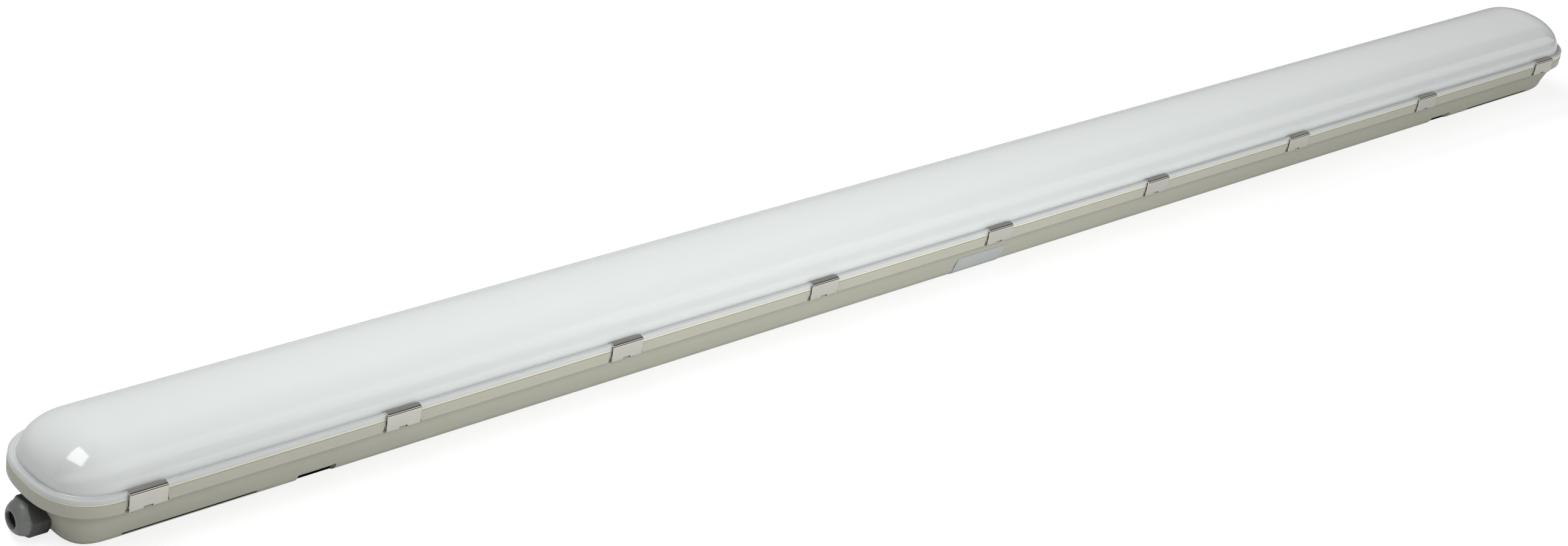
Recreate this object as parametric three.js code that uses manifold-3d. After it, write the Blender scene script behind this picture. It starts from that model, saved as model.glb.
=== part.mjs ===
// A slim weatherproof batten light that lies on its back, in millimetres with +Z towards the lit side.
// The cable gland is at the -X end, and the origin is the centre of the flat back.

import * as THREE from 'three';
import { mergeVertices } from 'three/addons/utils/BufferGeometryUtils.js';
import Module from 'manifold-3d';

const wasm = await Module();
wasm.setup();

// Driving sizes of the whole fixture
const fixtureLength = 1500;
const rimWidth = 87;
const bodyDepth = 29.8;
const rimBandHeight = 7.3;
const domeRise = 23;
const clipsPerSide = 9;
const clipEndInset = 54;

// Clearances that several pieces share
const gap = 0.3;
const overrun = 1;

// Steps of the round ends and of turned pieces
const endSteps = 12;
const latheSteps = 20;
const finePinSteps = 8;

// Housing
const wall = 2;
const backRound = 10;
const backRoundSteps = 4;
const bodyDraftShare = 0.32;
const bodyRimInset = 4.75;
const bodyEndSetback = 2.8;
const bodyEndExponent = 3.6;
const rimEndExponent = 2.5;
const skirtThickness = 2;
const channelDepth = 3.5;
const grooveOuterWall = 1.7;
const grooveWidth = 2.9;
const grooveDepth = 2.1;

// Gasket
const gasketLipThickness = 0.5;
const gasketLipInset = 0.35;
const gasketLipWidth = 4.6;

// Diffuser
const flangeInset = 0.35;
const flangeEdgeHeight = 2.4;
const lipHeight = 3.3;
const lipCrestInset = 2.2;
const lipShoulderInset = 0.8;
const lipShoulderDrop = 0.35;
const valleyInset = 3.4;
const valleyDepth = 0.5;
const domeInset = 4;
const domeWall = 1.8;
const domeSectionExponent = 2.1;
const domeSteps = 9;
const domeInnerSteps = 6;
const domeCapAngle = 84;

// Spring clips and the pivots that they swing on
const clipWidth = 24.6;
const clipSheet = 0.6;
const pivotBarRadius = 0.8;
const curlClearance = 0.35;
const curlWrap = 170;
const plateHeight = 9.9;
const clipStandoff = 0.95;
const bendRadius = 1.6;
const hookReach = 4.35;
const hookRise = 12.5;
const curlSteps = 7;
const bendSteps = 3;
const recessMargin = 1.2;
const notchWidth = 6.2;
const notchHeight = 1.9;
const lugClearance = 0.7;
const lugThickness = 1.5;

// Pockets along the back edges that mounting brackets hold
const openPocketEndInset = 164;
const openPocketLength = 27;
const openPocketTop = 8;
const slotPocketEndInset = 46.5;
const slotPocketLength = 89.7;
const slotPocketBottom = 4.7;
const slotPocketTop = 7.2;
const slotFaceInset = 13.7;
const pocketInset = 17.5;
const pocketBacking = 2;

// Cable gland
const glandHeight = 13;
const bossRadius = 11.2;
const bossWall = 2;
const bossFace = 14.8;
const bossLength = 10;
const glandBoreRadius = 9.7;
const entryThreadRadius = 9.3;
const nutThreadRadius = 8.9;
const glandHexFlats = 22;
const glandHexTurn = 39;
const washerThickness = 0.5;
const washerRadius = 10.7;
const washerBore = 9.7;
const collarLength = 5.9;
const nutThreadLength = 5.2;
const cageLength = 3;
const cageRadius = 8.2;
const cageWall = 1.6;
const cageDepth = 6.2;
const cableBoreRadius = 5.6;
const sealRadius = 6.3;
const sealBore = 4;
const sealLength = 7.4;
const nutHexLength = 6.8;
const nutLength = 13.3;
const nutChamfer = 0.9;
const nutDomeRadius = 10.8;
const nutTipRadius = 7.1;
const nutHoleRadius = 5.1;
const nutFrontWall = 2.3;
const nutDomeSteps = 5;
const threadOverhang = 1;

// Gear tray
const traySheet = 0.8;
const trayEndInset = 60;
const traySideInset = 13.5;
const trayTop = 29.6;
const trayLipHeight = 3.4;
const trayCorner = 9;
const trayBossRadius = 4;
const trayBossEndInset = 138;
const trayBossSideInset = 9;

// Screws
const screwRadius = 1.2;
const screwHoleRadius = 1.6;
const screwHeadRadius = 2.9;
const screwHeadHeight = 1.8;
const screwHeadEdge = 0.5;
const screwDriveWidth = 0.9;
const screwDriveLength = 3.4;
const screwDriveDepth = 0.9;
const trayScrewLength = 10;
const boardScrewLength = 5;
const driverScrewLength = 3.7;

// LED boards
const boardCount = 3;
const boardEndInset = 6;
const boardGap = 6;
const boardWidthShare = 0.4;
const boardThickness = 1.6;
const ledsPerBoard = 16;
const ledSize = 3.2;
const ledHeight = 0.8;
const boardScrewInset = 9;
const connectorLength = 5;
const connectorWidth = 9;
const connectorHeight = 2.4;
const linkWidth = 6;
const linkSheet = 0.6;
const linkOverlap = 3.5;

// Driver
const driverSetbackShare = 0.274;
const driverLengthShare = 0.62;
const driverWidth = 36;
const driverHeight = 21;
const driverWall = 1.5;
const driverEarLength = 11;
const driverEarThickness = 2.5;
const driverPortWidth = 16;
const driverPortHeight = 6;
const driverBoardThickness = 1.6;
const driverPartShares = [
  { alongShare: 0.1, acrossShare: -0.2, lengthShare: 0.035, widthShare: 0.22, heightShare: 0.51 },
  { alongShare: 0.22, acrossShare: 0, lengthShare: 0.067, widthShare: 0.49, heightShare: 0.57 },
  { alongShare: 0.38, acrossShare: 0.15, lengthShare: 0.047, widthShare: 0.37, heightShare: 0.65 },
  { alongShare: 0.55, acrossShare: 0, lengthShare: 0.094, widthShare: 0.68, heightShare: 0.68 },
  { alongShare: 0.72, acrossShare: -0.16, lengthShare: 0.035, widthShare: 0.43, heightShare: 0.57 },
  { alongShare: 0.86, acrossShare: 0.12, lengthShare: 0.043, widthShare: 0.34, heightShare: 0.62 },
];

// Terminal block and earth screw
const terminalEndInset = 95;
const terminalLength = 18;
const terminalPitch = 9;
const terminalPoles = 3;
const terminalHeight = 14;
const terminalBoreRadius = 1.9;
const terminalBoreHeight = 5;
const terminalScrewHole = 2.3;
const terminalScrewRadius = 1.9;
const terminalScrewLength = 4.6;
const earthScrewEndInset = 116;

// Leads
const leadRadius = 1.2;
const leadSides = 8;
const leadSteps = 10;
const leadEntry = 3;
const leadSpread = 6.5;
const leadPort = 4.4;
const leadStraight = 18;
const leadTurn = 30;
const leadSway = 3;
const leadReach = 2;
const leadPortSpread = 4;
const earthLeadStraight = 8;
const earthLeadClimb = 6;
const earthLeadEnd = 2;
const outputStraight = 16;
const outputBend = 6;

// Label
const labelStart = -28.7;
const labelLength = 49;
const labelTop = 18.2;
const labelThickness = 0.25;
const labelLift = 0.12;
const labelWrap = 33;
const labelWrapSteps = 4;

// Heights and places that follow from the sizes above
const rimHalf = rimWidth / 2;
const rimReach = fixtureLength / 2;
const clipPitch = (fixtureLength - 2 * clipEndInset) / (clipsPerSide - 1);
const rimBottom = bodyDepth;
const rimTop = rimBottom + rimBandHeight;
const channelTop = rimBottom + channelDepth;
const grooveFloor = rimTop - grooveDepth;
const gasketLipBottom = rimTop + gap;
const gasketLipTop = gasketLipBottom + gasketLipThickness;
const flangeBottom = gasketLipTop + gap;
const lipCrest = flangeBottom + lipHeight;
const domeBase = lipCrest - valleyDepth;
const bodyBackInset = bodyRimInset + bodyDraftShare * (rimBottom - backRound);
const curlInner = pivotBarRadius + curlClearance;
const curlOuter = curlInner + clipSheet;
const pivotY = rimHalf + clipStandoff + clipSheet - curlOuter;
const hookAngle = THREE.MathUtils.degToRad(90 - hookRise);
const hookSpan = lipCrestInset + curlOuter - bendRadius - (rimHalf - pivotY);
const plateTop = lipCrest + gap - (bendRadius - clipSheet) - hookSpan / Math.tan(hookAngle);
const pivotZ = plateTop - plateHeight;
const trayUnderside = trayTop - traySheet;
const boardBottom = trayTop + gap;
const boardTop = boardBottom + boardThickness;
const trayLength = fixtureLength - 2 * trayEndInset;
const trayWidth = rimWidth - 2 * traySideInset;
const boardWidth = trayWidth * boardWidthShare;
const trayBossX = rimReach - trayBossEndInset;
const trayBossY = trayWidth / 2 - trayBossSideInset;
const boardLength = (trayLength - 2 * boardEndInset - (boardCount - 1) * boardGap) / boardCount;
const driverLength = boardLength * driverLengthShare;
const driverStart = boardEndInset - trayLength / 2 + boardLength * driverSetbackShare;
const driverTop = trayUnderside - gap;
const driverBottom = driverTop - driverHeight;
const terminalX = terminalEndInset - rimReach;
const earthScrewX = earthScrewEndInset - rimReach;
const earthScrewY = -trayBossY;

const rimPlan = { half: rimHalf, reach: rimReach, exponent: rimEndExponent };
const bodyPlan = { half: rimHalf, reach: rimReach - bodyEndSetback, exponent: bodyEndExponent };
const domePlan = { half: rimHalf, reach: rimReach, exponent: 2 };

// Turn a closed three.js geometry into a solid that can be cut and joined.
function solid(geometry) {
  const bare = geometry.clone();
  bare.deleteAttribute('normal');
  bare.deleteAttribute('uv');
  const merged = mergeVertices(bare);
  return new wasm.Manifold(
    new wasm.Mesh({
      numProp: 3,
      vertProperties: new Float32Array(merged.attributes.position.array),
      triVerts: new Uint32Array(merged.index.array),
    }),
  );
}

// Give a solid back as a three.js geometry.
function geometryOf(body) {
  const mesh = body.getMesh();
  const geometry = new THREE.BufferGeometry();
  geometry.setAttribute('position', new THREE.BufferAttribute(mesh.vertProperties, mesh.numProp));
  geometry.setIndex(new THREE.BufferAttribute(mesh.triVerts, 1));
  geometry.computeVertexNormals();
  return geometry;
}

// A stadium outline whose ends are superellipses, drawn in from the plan's own outline by an inset.
function planRing(plan, inset, z) {
  const half = plan.half - inset;
  const centre = plan.reach - plan.half;
  const power = 2 / plan.exponent;
  const points = [];
  for (const end of [1, -1]) {
    for (let step = 0; step <= endSteps; step += 1) {
      const angle = (Math.PI * step) / endSteps - Math.PI / 2;
      const along = half * Math.abs(Math.cos(angle)) ** power;
      const across = half * Math.sign(Math.sin(angle)) * Math.abs(Math.sin(angle)) ** power;
      points.push(new THREE.Vector3(end * (centre + along), end * across, z));
    }
  }
  return points;
}

// Join rings of equal counts, lowest first, into one closed body with flat ends.
function loft(rings) {
  const count = rings[0].length;
  const positions = rings.flat().flatMap((point) => [point.x, point.y, point.z]);
  const index = [];
  for (let level = 0; level < rings.length - 1; level += 1) {
    for (let i = 0; i < count; i += 1) {
      const a = level * count + i;
      const b = level * count + ((i + 1) % count);
      index.push(a, b, b + count, a, b + count, a + count);
    }
  }
  const top = (rings.length - 1) * count;
  for (let i = 1; i < count - 1; i += 1) {
    index.push(0, i + 1, i, top, top + i, top + i + 1);
  }
  const geometry = new THREE.BufferGeometry();
  geometry.setAttribute('position', new THREE.Float32BufferAttribute(positions, 3));
  geometry.setIndex(index);
  return solid(geometry);
}

// A straight-walled band between two insets of one plan.
function band(plan, outerInset, innerInset, bottom, top) {
  const outer = loft([planRing(plan, outerInset, bottom), planRing(plan, outerInset, top)]);
  const low = bottom - overrun;
  const high = top + overrun;
  return outer.subtract(loft([planRing(plan, innerInset, low), planRing(plan, innerInset, high)]));
}

// A box between two corners.
function box(low, high) {
  const size = new THREE.Vector3().subVectors(high, low);
  const geometry = new THREE.BoxGeometry(size.x, size.y, size.z);
  geometry.translate((low.x + high.x) / 2, (low.y + high.y) / 2, (low.z + high.z) / 2);
  return solid(geometry);
}

// A box that is centred in X and Y on a point and stands between two heights.
function block(centreX, centreY, length, width, bottom, top) {
  return box(
    new THREE.Vector3(centreX - length / 2, centreY - width / 2, bottom),
    new THREE.Vector3(centreX + length / 2, centreY + width / 2, top),
  );
}

// A round rod between two points.
function rod(radius, from, to, sides = latheSteps) {
  const axis = new THREE.Vector3().subVectors(to, from);
  const geometry = new THREE.CylinderGeometry(radius, radius, axis.length(), sides);
  const turn = new THREE.Quaternion().setFromUnitVectors(new THREE.Vector3(0, 1, 0), axis.normalize());
  geometry.applyQuaternion(turn);
  geometry.translate((from.x + to.x) / 2, (from.y + to.y) / 2, (from.z + to.z) / 2);
  return solid(geometry);
}

// A turned piece from points of radius and height, on the Y axis.
function turned(points, sides = latheSteps) {
  const outline = points.map(([radius, height]) => new THREE.Vector2(radius, height));
  return new THREE.LatheGeometry(outline, sides);
}

// A turned ring whose section is a closed outline, or a turned body that starts and ends on the axis.
function turnedRing(points, sides = latheSteps) {
  return turned([...points, points[0]], sides);
}

// Insets and heights of the body's side, with the back's round edge, drawn in by a wall thickness.
function bodySide(drawnIn) {
  const levels = [];
  const radius = backRound - drawnIn;
  for (let step = 0; step <= backRoundSteps; step += 1) {
    const angle = (Math.PI / 2) * (1 - step / backRoundSteps);
    levels.push({
      inset: bodyBackInset + drawnIn + radius * (1 - Math.cos(angle)),
      z: backRound - radius * Math.sin(angle),
    });
  }
  levels.push({ inset: bodyRimInset + drawnIn, z: rimBottom });
  return levels;
}

const parts = new THREE.Group();

// Hang a finished piece in the model under its node's name.
function addPart(name, geometry, material, position = new THREE.Vector3(), rotation = new THREE.Euler()) {
  const mesh = new THREE.Mesh(geometry, material);
  mesh.name = name;
  mesh.position.copy(position);
  mesh.rotation.copy(rotation);
  parts.add(mesh);
}

function finish(color, roughness, metalness = 0) {
  return new THREE.MeshStandardMaterial({ color, roughness, metalness });
}

const housingFinish = finish(0xb6b6a8, 0.5);
const gasketFinish = finish(0xe1dcc8, 0.8);
const diffuserFinish = finish(0xdfe4e3, 0.3);
const steelFinish = finish(0xc3c3bc, 0.28, 1);
const glandFinish = finish(0x4d4f4c, 0.55);
const rubberFinish = finish(0x1f1f1f, 0.9);
const trayFinish = finish(0xf2f2ee, 0.45);
const boardFinish = finish(0xf4f4f0, 0.5);
const screwFinish = finish(0xb8b9b6, 0.35, 1);
const driverFinish = finish(0xe9e9e4, 0.5);
const circuitFinish = finish(0x2f6b3c, 0.6);
const terminalFinish = finish(0xe6e5de, 0.5);
const labelFinish = finish(0xd3dadd, 0.4);
const liveFinish = finish(0x7a4a28, 0.5);
const neutralFinish = finish(0x2d6fb5, 0.5);
const earthFinish = finish(0x4f9a3c, 0.5);
const plusFinish = finish(0xb23a34, 0.5);
const minusFinish = finish(0x2a2a2a, 0.5);

// Centres of the clips along one side.
function clipPlaces() {
  const places = [];
  for (let number = 0; number < clipsPerSide; number += 1) {
    places.push((number - (clipsPerSide - 1) / 2) * clipPitch);
  }
  return places;
}

// The recess that a clip's curl turns in, cut through the rim's skirt on one side.
function clipRecess(x, side) {
  const half = clipWidth / 2 + recessMargin;
  const outer = rimHalf + overrun;
  const inner = rimHalf - skirtThickness - overrun;
  return box(
    new THREE.Vector3(x - half, Math.min(side * outer, side * inner), rimBottom - overrun),
    new THREE.Vector3(x + half, Math.max(side * outer, side * inner), channelTop),
  );
}

// The bar that a clip swings on, with the lug that carries its middle.
function clipPivot(x, side) {
  const half = clipWidth / 2 + recessMargin + overrun;
  const y = side * pivotY;
  const bar = rod(
    pivotBarRadius,
    new THREE.Vector3(x - half, y, pivotZ),
    new THREE.Vector3(x + half, y, pivotZ),
    finePinSteps,
  );
  const lug = block(x, y, notchWidth - 2 * lugClearance, lugThickness, pivotZ, channelTop + gap);
  return bar.add(lug);
}

// The pockets of one back edge at one end: a notch open to the back, and a longer slot above a set-back face.
function pocketPlaces(end, side) {
  const openX = end * (rimReach - openPocketEndInset - openPocketLength / 2);
  const slotX = end * (rimReach - slotPocketEndInset - slotPocketLength / 2);
  return [
    { x: openX, side, length: openPocketLength, inset: pocketInset, bottom: -overrun, top: openPocketTop },
    { x: slotX, side, length: slotPocketLength, inset: slotFaceInset, bottom: -overrun, top: slotPocketTop },
    {
      x: slotX,
      side,
      length: slotPocketLength,
      inset: pocketInset,
      bottom: slotPocketBottom,
      top: slotPocketTop,
    },
  ];
}

function pocket({ x, side, length, inset, bottom, top }) {
  return block(x, side * (rimHalf - inset / 2), length, inset, bottom, top);
}

// Extra wall behind a pocket, so that the pocket doesn't reach the inside.
function pocketWall({ x, side, length, inset, top }) {
  const thick = 2 * pocketBacking;
  return block(x, side * (rimHalf - inset / 2), length + thick, inset + thick, wall / 2, top + pocketBacking);
}

// Places of the screws that hold the tray down.
function trayScrewPlaces() {
  return [-1, 1].flatMap((end) => [-1, 1].map((side) => ({ x: end * trayBossX, y: side * trayBossY })));
}

// A point on the gland's axis, at a distance outwards from the fixture's middle.
function onGlandAxis(distance) {
  return new THREE.Vector3(-distance, 0, glandHeight);
}

const glandSeat = rimReach - bossFace;

function buildHousing() {
  const outside = bodySide(0).map(({ inset, z }) => planRing(bodyPlan, inset, z));
  outside.push(planRing(bodyPlan, bodyRimInset, rimTop));
  const inside = bodySide(wall).map(({ inset, z }) => planRing(bodyPlan, inset, z));
  inside.push(planRing(bodyPlan, bodyRimInset + wall, rimTop + overrun));
  const body = loft(outside);
  const cavity = loft(inside);
  const rim = loft([planRing(rimPlan, 0, rimBottom), planRing(rimPlan, 0, rimTop)]);
  const channel = loft([
    planRing(rimPlan, skirtThickness, rimBottom - overrun),
    planRing(rimPlan, skirtThickness, channelTop),
  ]).subtract(body);
  const grooveInner = grooveOuterWall + grooveWidth;
  const lining = band(rimPlan, grooveInner, bodyRimInset + wall, channelTop, rimTop);
  const groove = band(rimPlan, grooveOuterWall, grooveInner, grooveFloor, rimTop + overrun);

  let housing = body.add(rim).subtract(cavity).subtract(channel).add(lining).subtract(groove);
  for (const side of [-1, 1]) {
    for (const x of clipPlaces()) {
      housing = housing.subtract(clipRecess(x, side)).add(clipPivot(x, side));
    }
    const places = [...pocketPlaces(-1, side), ...pocketPlaces(1, side)];
    for (const place of places) {
      housing = housing.add(pocketWall(place).intersect(body));
    }
    for (const place of places) {
      housing = housing.subtract(pocket(place));
    }
  }
  for (const { x, y } of trayScrewPlaces()) {
    const foot = new THREE.Vector3(x, y, wall / 2);
    const top = new THREE.Vector3(x, y, trayUnderside - gap);
    const holeFoot = new THREE.Vector3(x, y, top.z - trayScrewLength);
    const holeTop = new THREE.Vector3(x, y, top.z + overrun);
    housing = housing.add(rod(trayBossRadius, foot, top, finePinSteps));
    housing = housing.subtract(rod(screwHoleRadius, holeFoot, holeTop, finePinSteps));
  }
  const bossBack = onGlandAxis(glandSeat - bossLength);
  const seat = onGlandAxis(glandSeat);
  const recessRadius = glandHexFlats / Math.sqrt(3) + 2 * gap;
  const backing = rod(recessRadius + bossWall, bossBack, onGlandAxis(rimReach)).intersect(body);
  const recess = rod(recessRadius, seat, onGlandAxis(rimReach + overrun));
  const bore = rod(glandBoreRadius, onGlandAxis(glandSeat - bossLength - overrun), seat);
  const boss = rod(bossRadius, bossBack, seat);
  return housing.add(backing).add(boss).subtract(recess).subtract(bore);
}

function buildGasket() {
  const grooveInner = grooveOuterWall + grooveWidth;
  const root = band(rimPlan, grooveOuterWall + gap, grooveInner - gap, grooveFloor + gap, gasketLipTop);
  const lip = band(
    rimPlan,
    gasketLipInset,
    gasketLipInset + gasketLipWidth,
    gasketLipBottom,
    gasketLipTop,
  );
  return root.add(lip);
}

// Rings of a dome that springs from a half width, from its base to a small flat crown.
function domeRings(inset, rise, steps) {
  const half = rimHalf - inset;
  const power = 2 / domeSectionExponent;
  const rings = [];
  for (let step = 0; step <= steps; step += 1) {
    const angle = THREE.MathUtils.degToRad((domeCapAngle * step) / steps);
    const width = half * Math.cos(angle) ** power;
    rings.push(planRing(domePlan, rimHalf - width, domeBase + rise * Math.sin(angle) ** power));
  }
  return rings;
}

function buildDiffuser() {
  const shoulder = lipCrest - lipShoulderDrop;
  const outside = loft([
    planRing(rimPlan, flangeInset, flangeBottom),
    planRing(rimPlan, flangeInset, flangeBottom + flangeEdgeHeight),
    planRing(rimPlan, lipShoulderInset, shoulder),
    planRing(rimPlan, lipCrestInset, lipCrest),
    planRing(rimPlan, valleyInset, domeBase),
    ...domeRings(domeInset, domeRise, domeSteps),
  ]);
  const innerInset = domeInset + domeWall;
  const inside = loft([
    planRing(domePlan, innerInset, flangeBottom - overrun),
    ...domeRings(innerInset, domeRise - domeWall, domeInnerSteps),
  ]);
  return outside.subtract(inside);
}

// The side view of a clip about its pivot: a curl, an upright plate and a hook that reaches inwards.
function clipProfile() {
  const wrap = THREE.MathUtils.degToRad(-curlWrap);
  const bendCentreX = curlOuter - bendRadius;
  const hookLength = (hookReach - bendRadius) / Math.sin(hookAngle);
  const alongX = -Math.sin(hookAngle) * hookLength;
  const alongY = Math.cos(hookAngle) * hookLength;
  const points = [];
  function arc(centreX, centreY, radius, from, to, steps) {
    for (let step = 0; step <= steps; step += 1) {
      const angle = from + ((to - from) * step) / steps;
      points.push([centreX + radius * Math.cos(angle), centreY + radius * Math.sin(angle)]);
    }
  }
  arc(0, 0, curlOuter, wrap, 0, curlSteps);
  arc(bendCentreX, plateHeight, bendRadius, 0, hookAngle, bendSteps);
  const [outerX, outerY] = points[points.length - 1];
  points.push([outerX + alongX, outerY + alongY]);
  const innerBend = bendRadius - clipSheet;
  const innerX = bendCentreX + innerBend * Math.cos(hookAngle);
  const innerY = plateHeight + innerBend * Math.sin(hookAngle);
  points.push([innerX + alongX, innerY + alongY]);
  arc(bendCentreX, plateHeight, innerBend, hookAngle, 0, bendSteps);
  arc(0, 0, curlInner, 0, wrap, curlSteps);
  return new THREE.Shape(points.map(([x, y]) => new THREE.Vector2(x, y)));
}

// A clip of the front side, with its pivot at the origin.
function buildClip() {
  const geometry = new THREE.ExtrudeGeometry(clipProfile(), { depth: clipWidth, bevelEnabled: false });
  geometry.translate(0, 0, -clipWidth / 2);
  const outwards = new THREE.Vector3(0, -1, 0);
  const upwards = new THREE.Vector3(0, 0, 1);
  const along = new THREE.Vector3(-1, 0, 0);
  geometry.applyMatrix4(new THREE.Matrix4().makeBasis(outwards, upwards, along));
  const reach = curlOuter + overrun;
  const notch = block(0, 0, notchWidth, 2 * reach, -reach, notchHeight - curlOuter);
  return solid(geometry).subtract(notch);
}

// A hexagonal prism on the gland's axis between two distances outwards.
function glandHex(flats, from, to) {
  const radius = flats / Math.sqrt(3);
  const geometry = new THREE.CylinderGeometry(radius, radius, to - from, 6);
  geometry.rotateY(THREE.MathUtils.degToRad(glandHexTurn));
  geometry.rotateZ(Math.PI / 2);
  geometry.translate(-(from + to) / 2, 0, glandHeight);
  return solid(geometry);
}

// A turned piece on the gland's axis, from points of radius and distance outwards.
function glandTurned(points) {
  const geometry = turnedRing(points);
  geometry.rotateZ(Math.PI / 2);
  geometry.translate(0, 0, glandHeight);
  return solid(geometry);
}

const collarBack = glandSeat + gap + washerThickness + gap;
const collarFront = collarBack + collarLength;
const cageFront = collarFront + nutThreadLength + cageLength;
const nutBack = collarFront + gap;
const nutTip = nutBack + nutLength;

function buildGlandBody() {
  const back = glandSeat - bossLength - threadOverhang;
  const cageStart = collarFront + nutThreadLength;
  const cageFloor = cageFront - cageDepth;
  const core = glandTurned([
    [cableBoreRadius, back],
    [entryThreadRadius, back],
    [entryThreadRadius, collarBack + collarLength / 2],
    [nutThreadRadius, collarBack + collarLength / 2],
    [nutThreadRadius, cageStart],
    [cageRadius, cageStart],
    [cageRadius, cageFront],
    [cageRadius - cageWall, cageFront],
    [cageRadius - cageWall, cageFloor],
    [cableBoreRadius, cageFloor],
  ]);
  const collar = glandHex(glandHexFlats, collarBack, collarFront);
  const bore = rod(cableBoreRadius + gap, onGlandAxis(back), onGlandAxis(cageFront));
  return core.add(collar.subtract(bore));
}

function buildGlandSeal() {
  const back = cageFront - cageDepth + gap;
  return glandTurned([
    [sealBore, back],
    [sealRadius, back],
    [sealRadius, back + sealLength],
    [sealBore, back + sealLength],
  ]);
}

function buildGlandWasher() {
  const back = glandSeat + gap;
  return glandTurned([
    [washerBore, back],
    [washerRadius, back],
    [washerRadius, back + washerThickness],
    [washerBore, back + washerThickness],
  ]);
}

// The domed cap nut: a hexagon whose front corners are turned off, with a round nose and a cable hole.
function buildGlandNut() {
  const corner = glandHexFlats / Math.sqrt(3);
  const hexFront = nutBack + nutHexLength;
  const outline = [
    [nutThreadRadius + gap, nutBack],
    [corner - nutChamfer, nutBack],
    [corner + gap, nutBack + nutChamfer],
    [corner + gap, hexFront - nutChamfer],
    [nutDomeRadius, hexFront],
  ];
  const noseLength = nutTip - hexFront;
  for (let step = 1; step <= nutDomeSteps; step += 1) {
    const angle = ((Math.PI / 2) * step) / nutDomeSteps;
    const radius = nutTipRadius + (nutDomeRadius - nutTipRadius) * Math.cos(angle);
    outline.push([radius, hexFront + noseLength * Math.sin(angle)]);
  }
  const shoulder = cageFront + gap;
  outline.push([nutHoleRadius, nutTip]);
  outline.push([nutHoleRadius, nutTip - nutFrontWall]);
  outline.push([cageRadius + gap, shoulder]);
  outline.push([cageRadius + gap, collarFront + nutThreadLength + gap]);
  outline.push([nutThreadRadius + gap, collarFront + nutThreadLength + gap]);
  return glandTurned(outline).intersect(glandHex(glandHexFlats, nutBack - overrun, nutTip + overrun));
}

// A pan-head screw with a cross slot, whose head rests at a height and whose shank points down.
function buildScrew(length, radius = screwRadius, headRadius = screwHeadRadius) {
  const geometry = turned(
    [
      [0, -length],
      [radius, -length],
      [radius, 0],
      [headRadius, 0],
      [headRadius, screwHeadHeight - screwHeadEdge],
      [headRadius - screwHeadEdge, screwHeadHeight],
      [0, screwHeadHeight],
    ],
    finePinSteps,
  );
  geometry.rotateX(Math.PI / 2);
  const floor = screwHeadHeight - screwDriveDepth;
  const roof = screwHeadHeight + overrun;
  const slot = block(0, 0, screwDriveLength, screwDriveWidth, floor, roof);
  const cross = block(0, 0, screwDriveWidth, screwDriveLength, floor, roof);
  return solid(geometry).subtract(slot).subtract(cross);
}

// The X place of a board's centre.
function boardCentre(number) {
  return (number - (boardCount - 1) / 2) * (boardLength + boardGap);
}

// The X places of the joints between boards.
function boardJoints() {
  const joints = [];
  for (let number = 0; number < boardCount - 1; number += 1) {
    joints.push((boardCentre(number) + boardCentre(number + 1)) / 2);
  }
  return joints;
}

function boardScrewPlaces() {
  const places = [];
  for (let number = 0; number < boardCount; number += 1) {
    for (const end of [-1, 1]) {
      const x = boardCentre(number) + end * (boardLength / 2 - boardScrewInset - connectorLength);
      places.push({ x, y: end * (boardWidth / 2 - screwHeadRadius - gap) });
    }
  }
  return places;
}

function driverScrewPlaces() {
  const inset = driverEarLength / 2;
  return [driverStart + inset, driverStart + driverLength - inset].map((x) => ({ x, y: 0 }));
}

// A sheet tray with turned-down edges, cut corners and its screw holes.
function buildTray() {
  const half = trayLength / 2;
  const side = trayWidth / 2;
  const outline = new THREE.Shape();
  outline.moveTo(-half + trayCorner, -side);
  outline.lineTo(half - trayCorner, -side);
  outline.lineTo(half, -side + trayCorner);
  outline.lineTo(half, side - trayCorner);
  outline.lineTo(half - trayCorner, side);
  outline.lineTo(-half + trayCorner, side);
  outline.lineTo(-half, side - trayCorner);
  outline.lineTo(-half, -side + trayCorner);
  const plate = new THREE.ExtrudeGeometry(outline, { depth: traySheet, bevelEnabled: false });
  plate.translate(0, 0, trayUnderside);
  let tray = solid(plate);
  for (const edge of [-1, 1]) {
    const y = edge * (side - traySheet / 2);
    const length = trayLength - 2 * trayCorner;
    tray = tray.add(block(0, y, length, traySheet, trayTop - trayLipHeight, trayTop - traySheet / 2));
  }
  const holes = [
    ...trayScrewPlaces(),
    ...boardScrewPlaces(),
    ...driverScrewPlaces(),
    { x: earthScrewX, y: earthScrewY },
  ];
  for (const { x, y } of holes) {
    const low = new THREE.Vector3(x, y, trayUnderside - overrun);
    const high = new THREE.Vector3(x, y, trayTop + overrun);
    tray = tray.subtract(rod(screwHoleRadius, low, high, finePinSteps));
  }
  for (const edge of [-1, 1]) {
    const y = edge * leadSpread;
    const port = block(outputPortX, y, leadPort, leadPort, trayUnderside - overrun, trayTop + overrun);
    tray = tray.subtract(port);
  }
  return tray;
}

// One LED board with its packages and the connectors at its ends.
function buildBoard(number) {
  const centre = boardCentre(number);
  let board = block(centre, 0, boardLength, boardWidth, boardBottom, boardTop);
  const room = boardLength - 2 * (connectorLength + 2 * boardScrewInset);
  const pitch = room / (ledsPerBoard - 1);
  for (let led = 0; led < ledsPerBoard; led += 1) {
    const x = centre - room / 2 + led * pitch;
    board = board.add(block(x, 0, ledSize, ledSize, boardTop - gap, boardTop + ledHeight));
  }
  for (const end of [-1, 1]) {
    const x = centre + end * (boardLength / 2 - connectorLength / 2 - linkOverlap - gap);
    const top = boardTop + connectorHeight;
    board = board.add(block(x, 0, connectorLength, connectorWidth, boardTop - gap, top));
  }
  for (const { x, y } of boardScrewPlaces()) {
    const low = new THREE.Vector3(x, y, boardBottom - overrun);
    const high = new THREE.Vector3(x, y, boardTop + overrun);
    board = board.subtract(rod(screwHoleRadius, low, high, finePinSteps));
  }
  return board;
}

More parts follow.
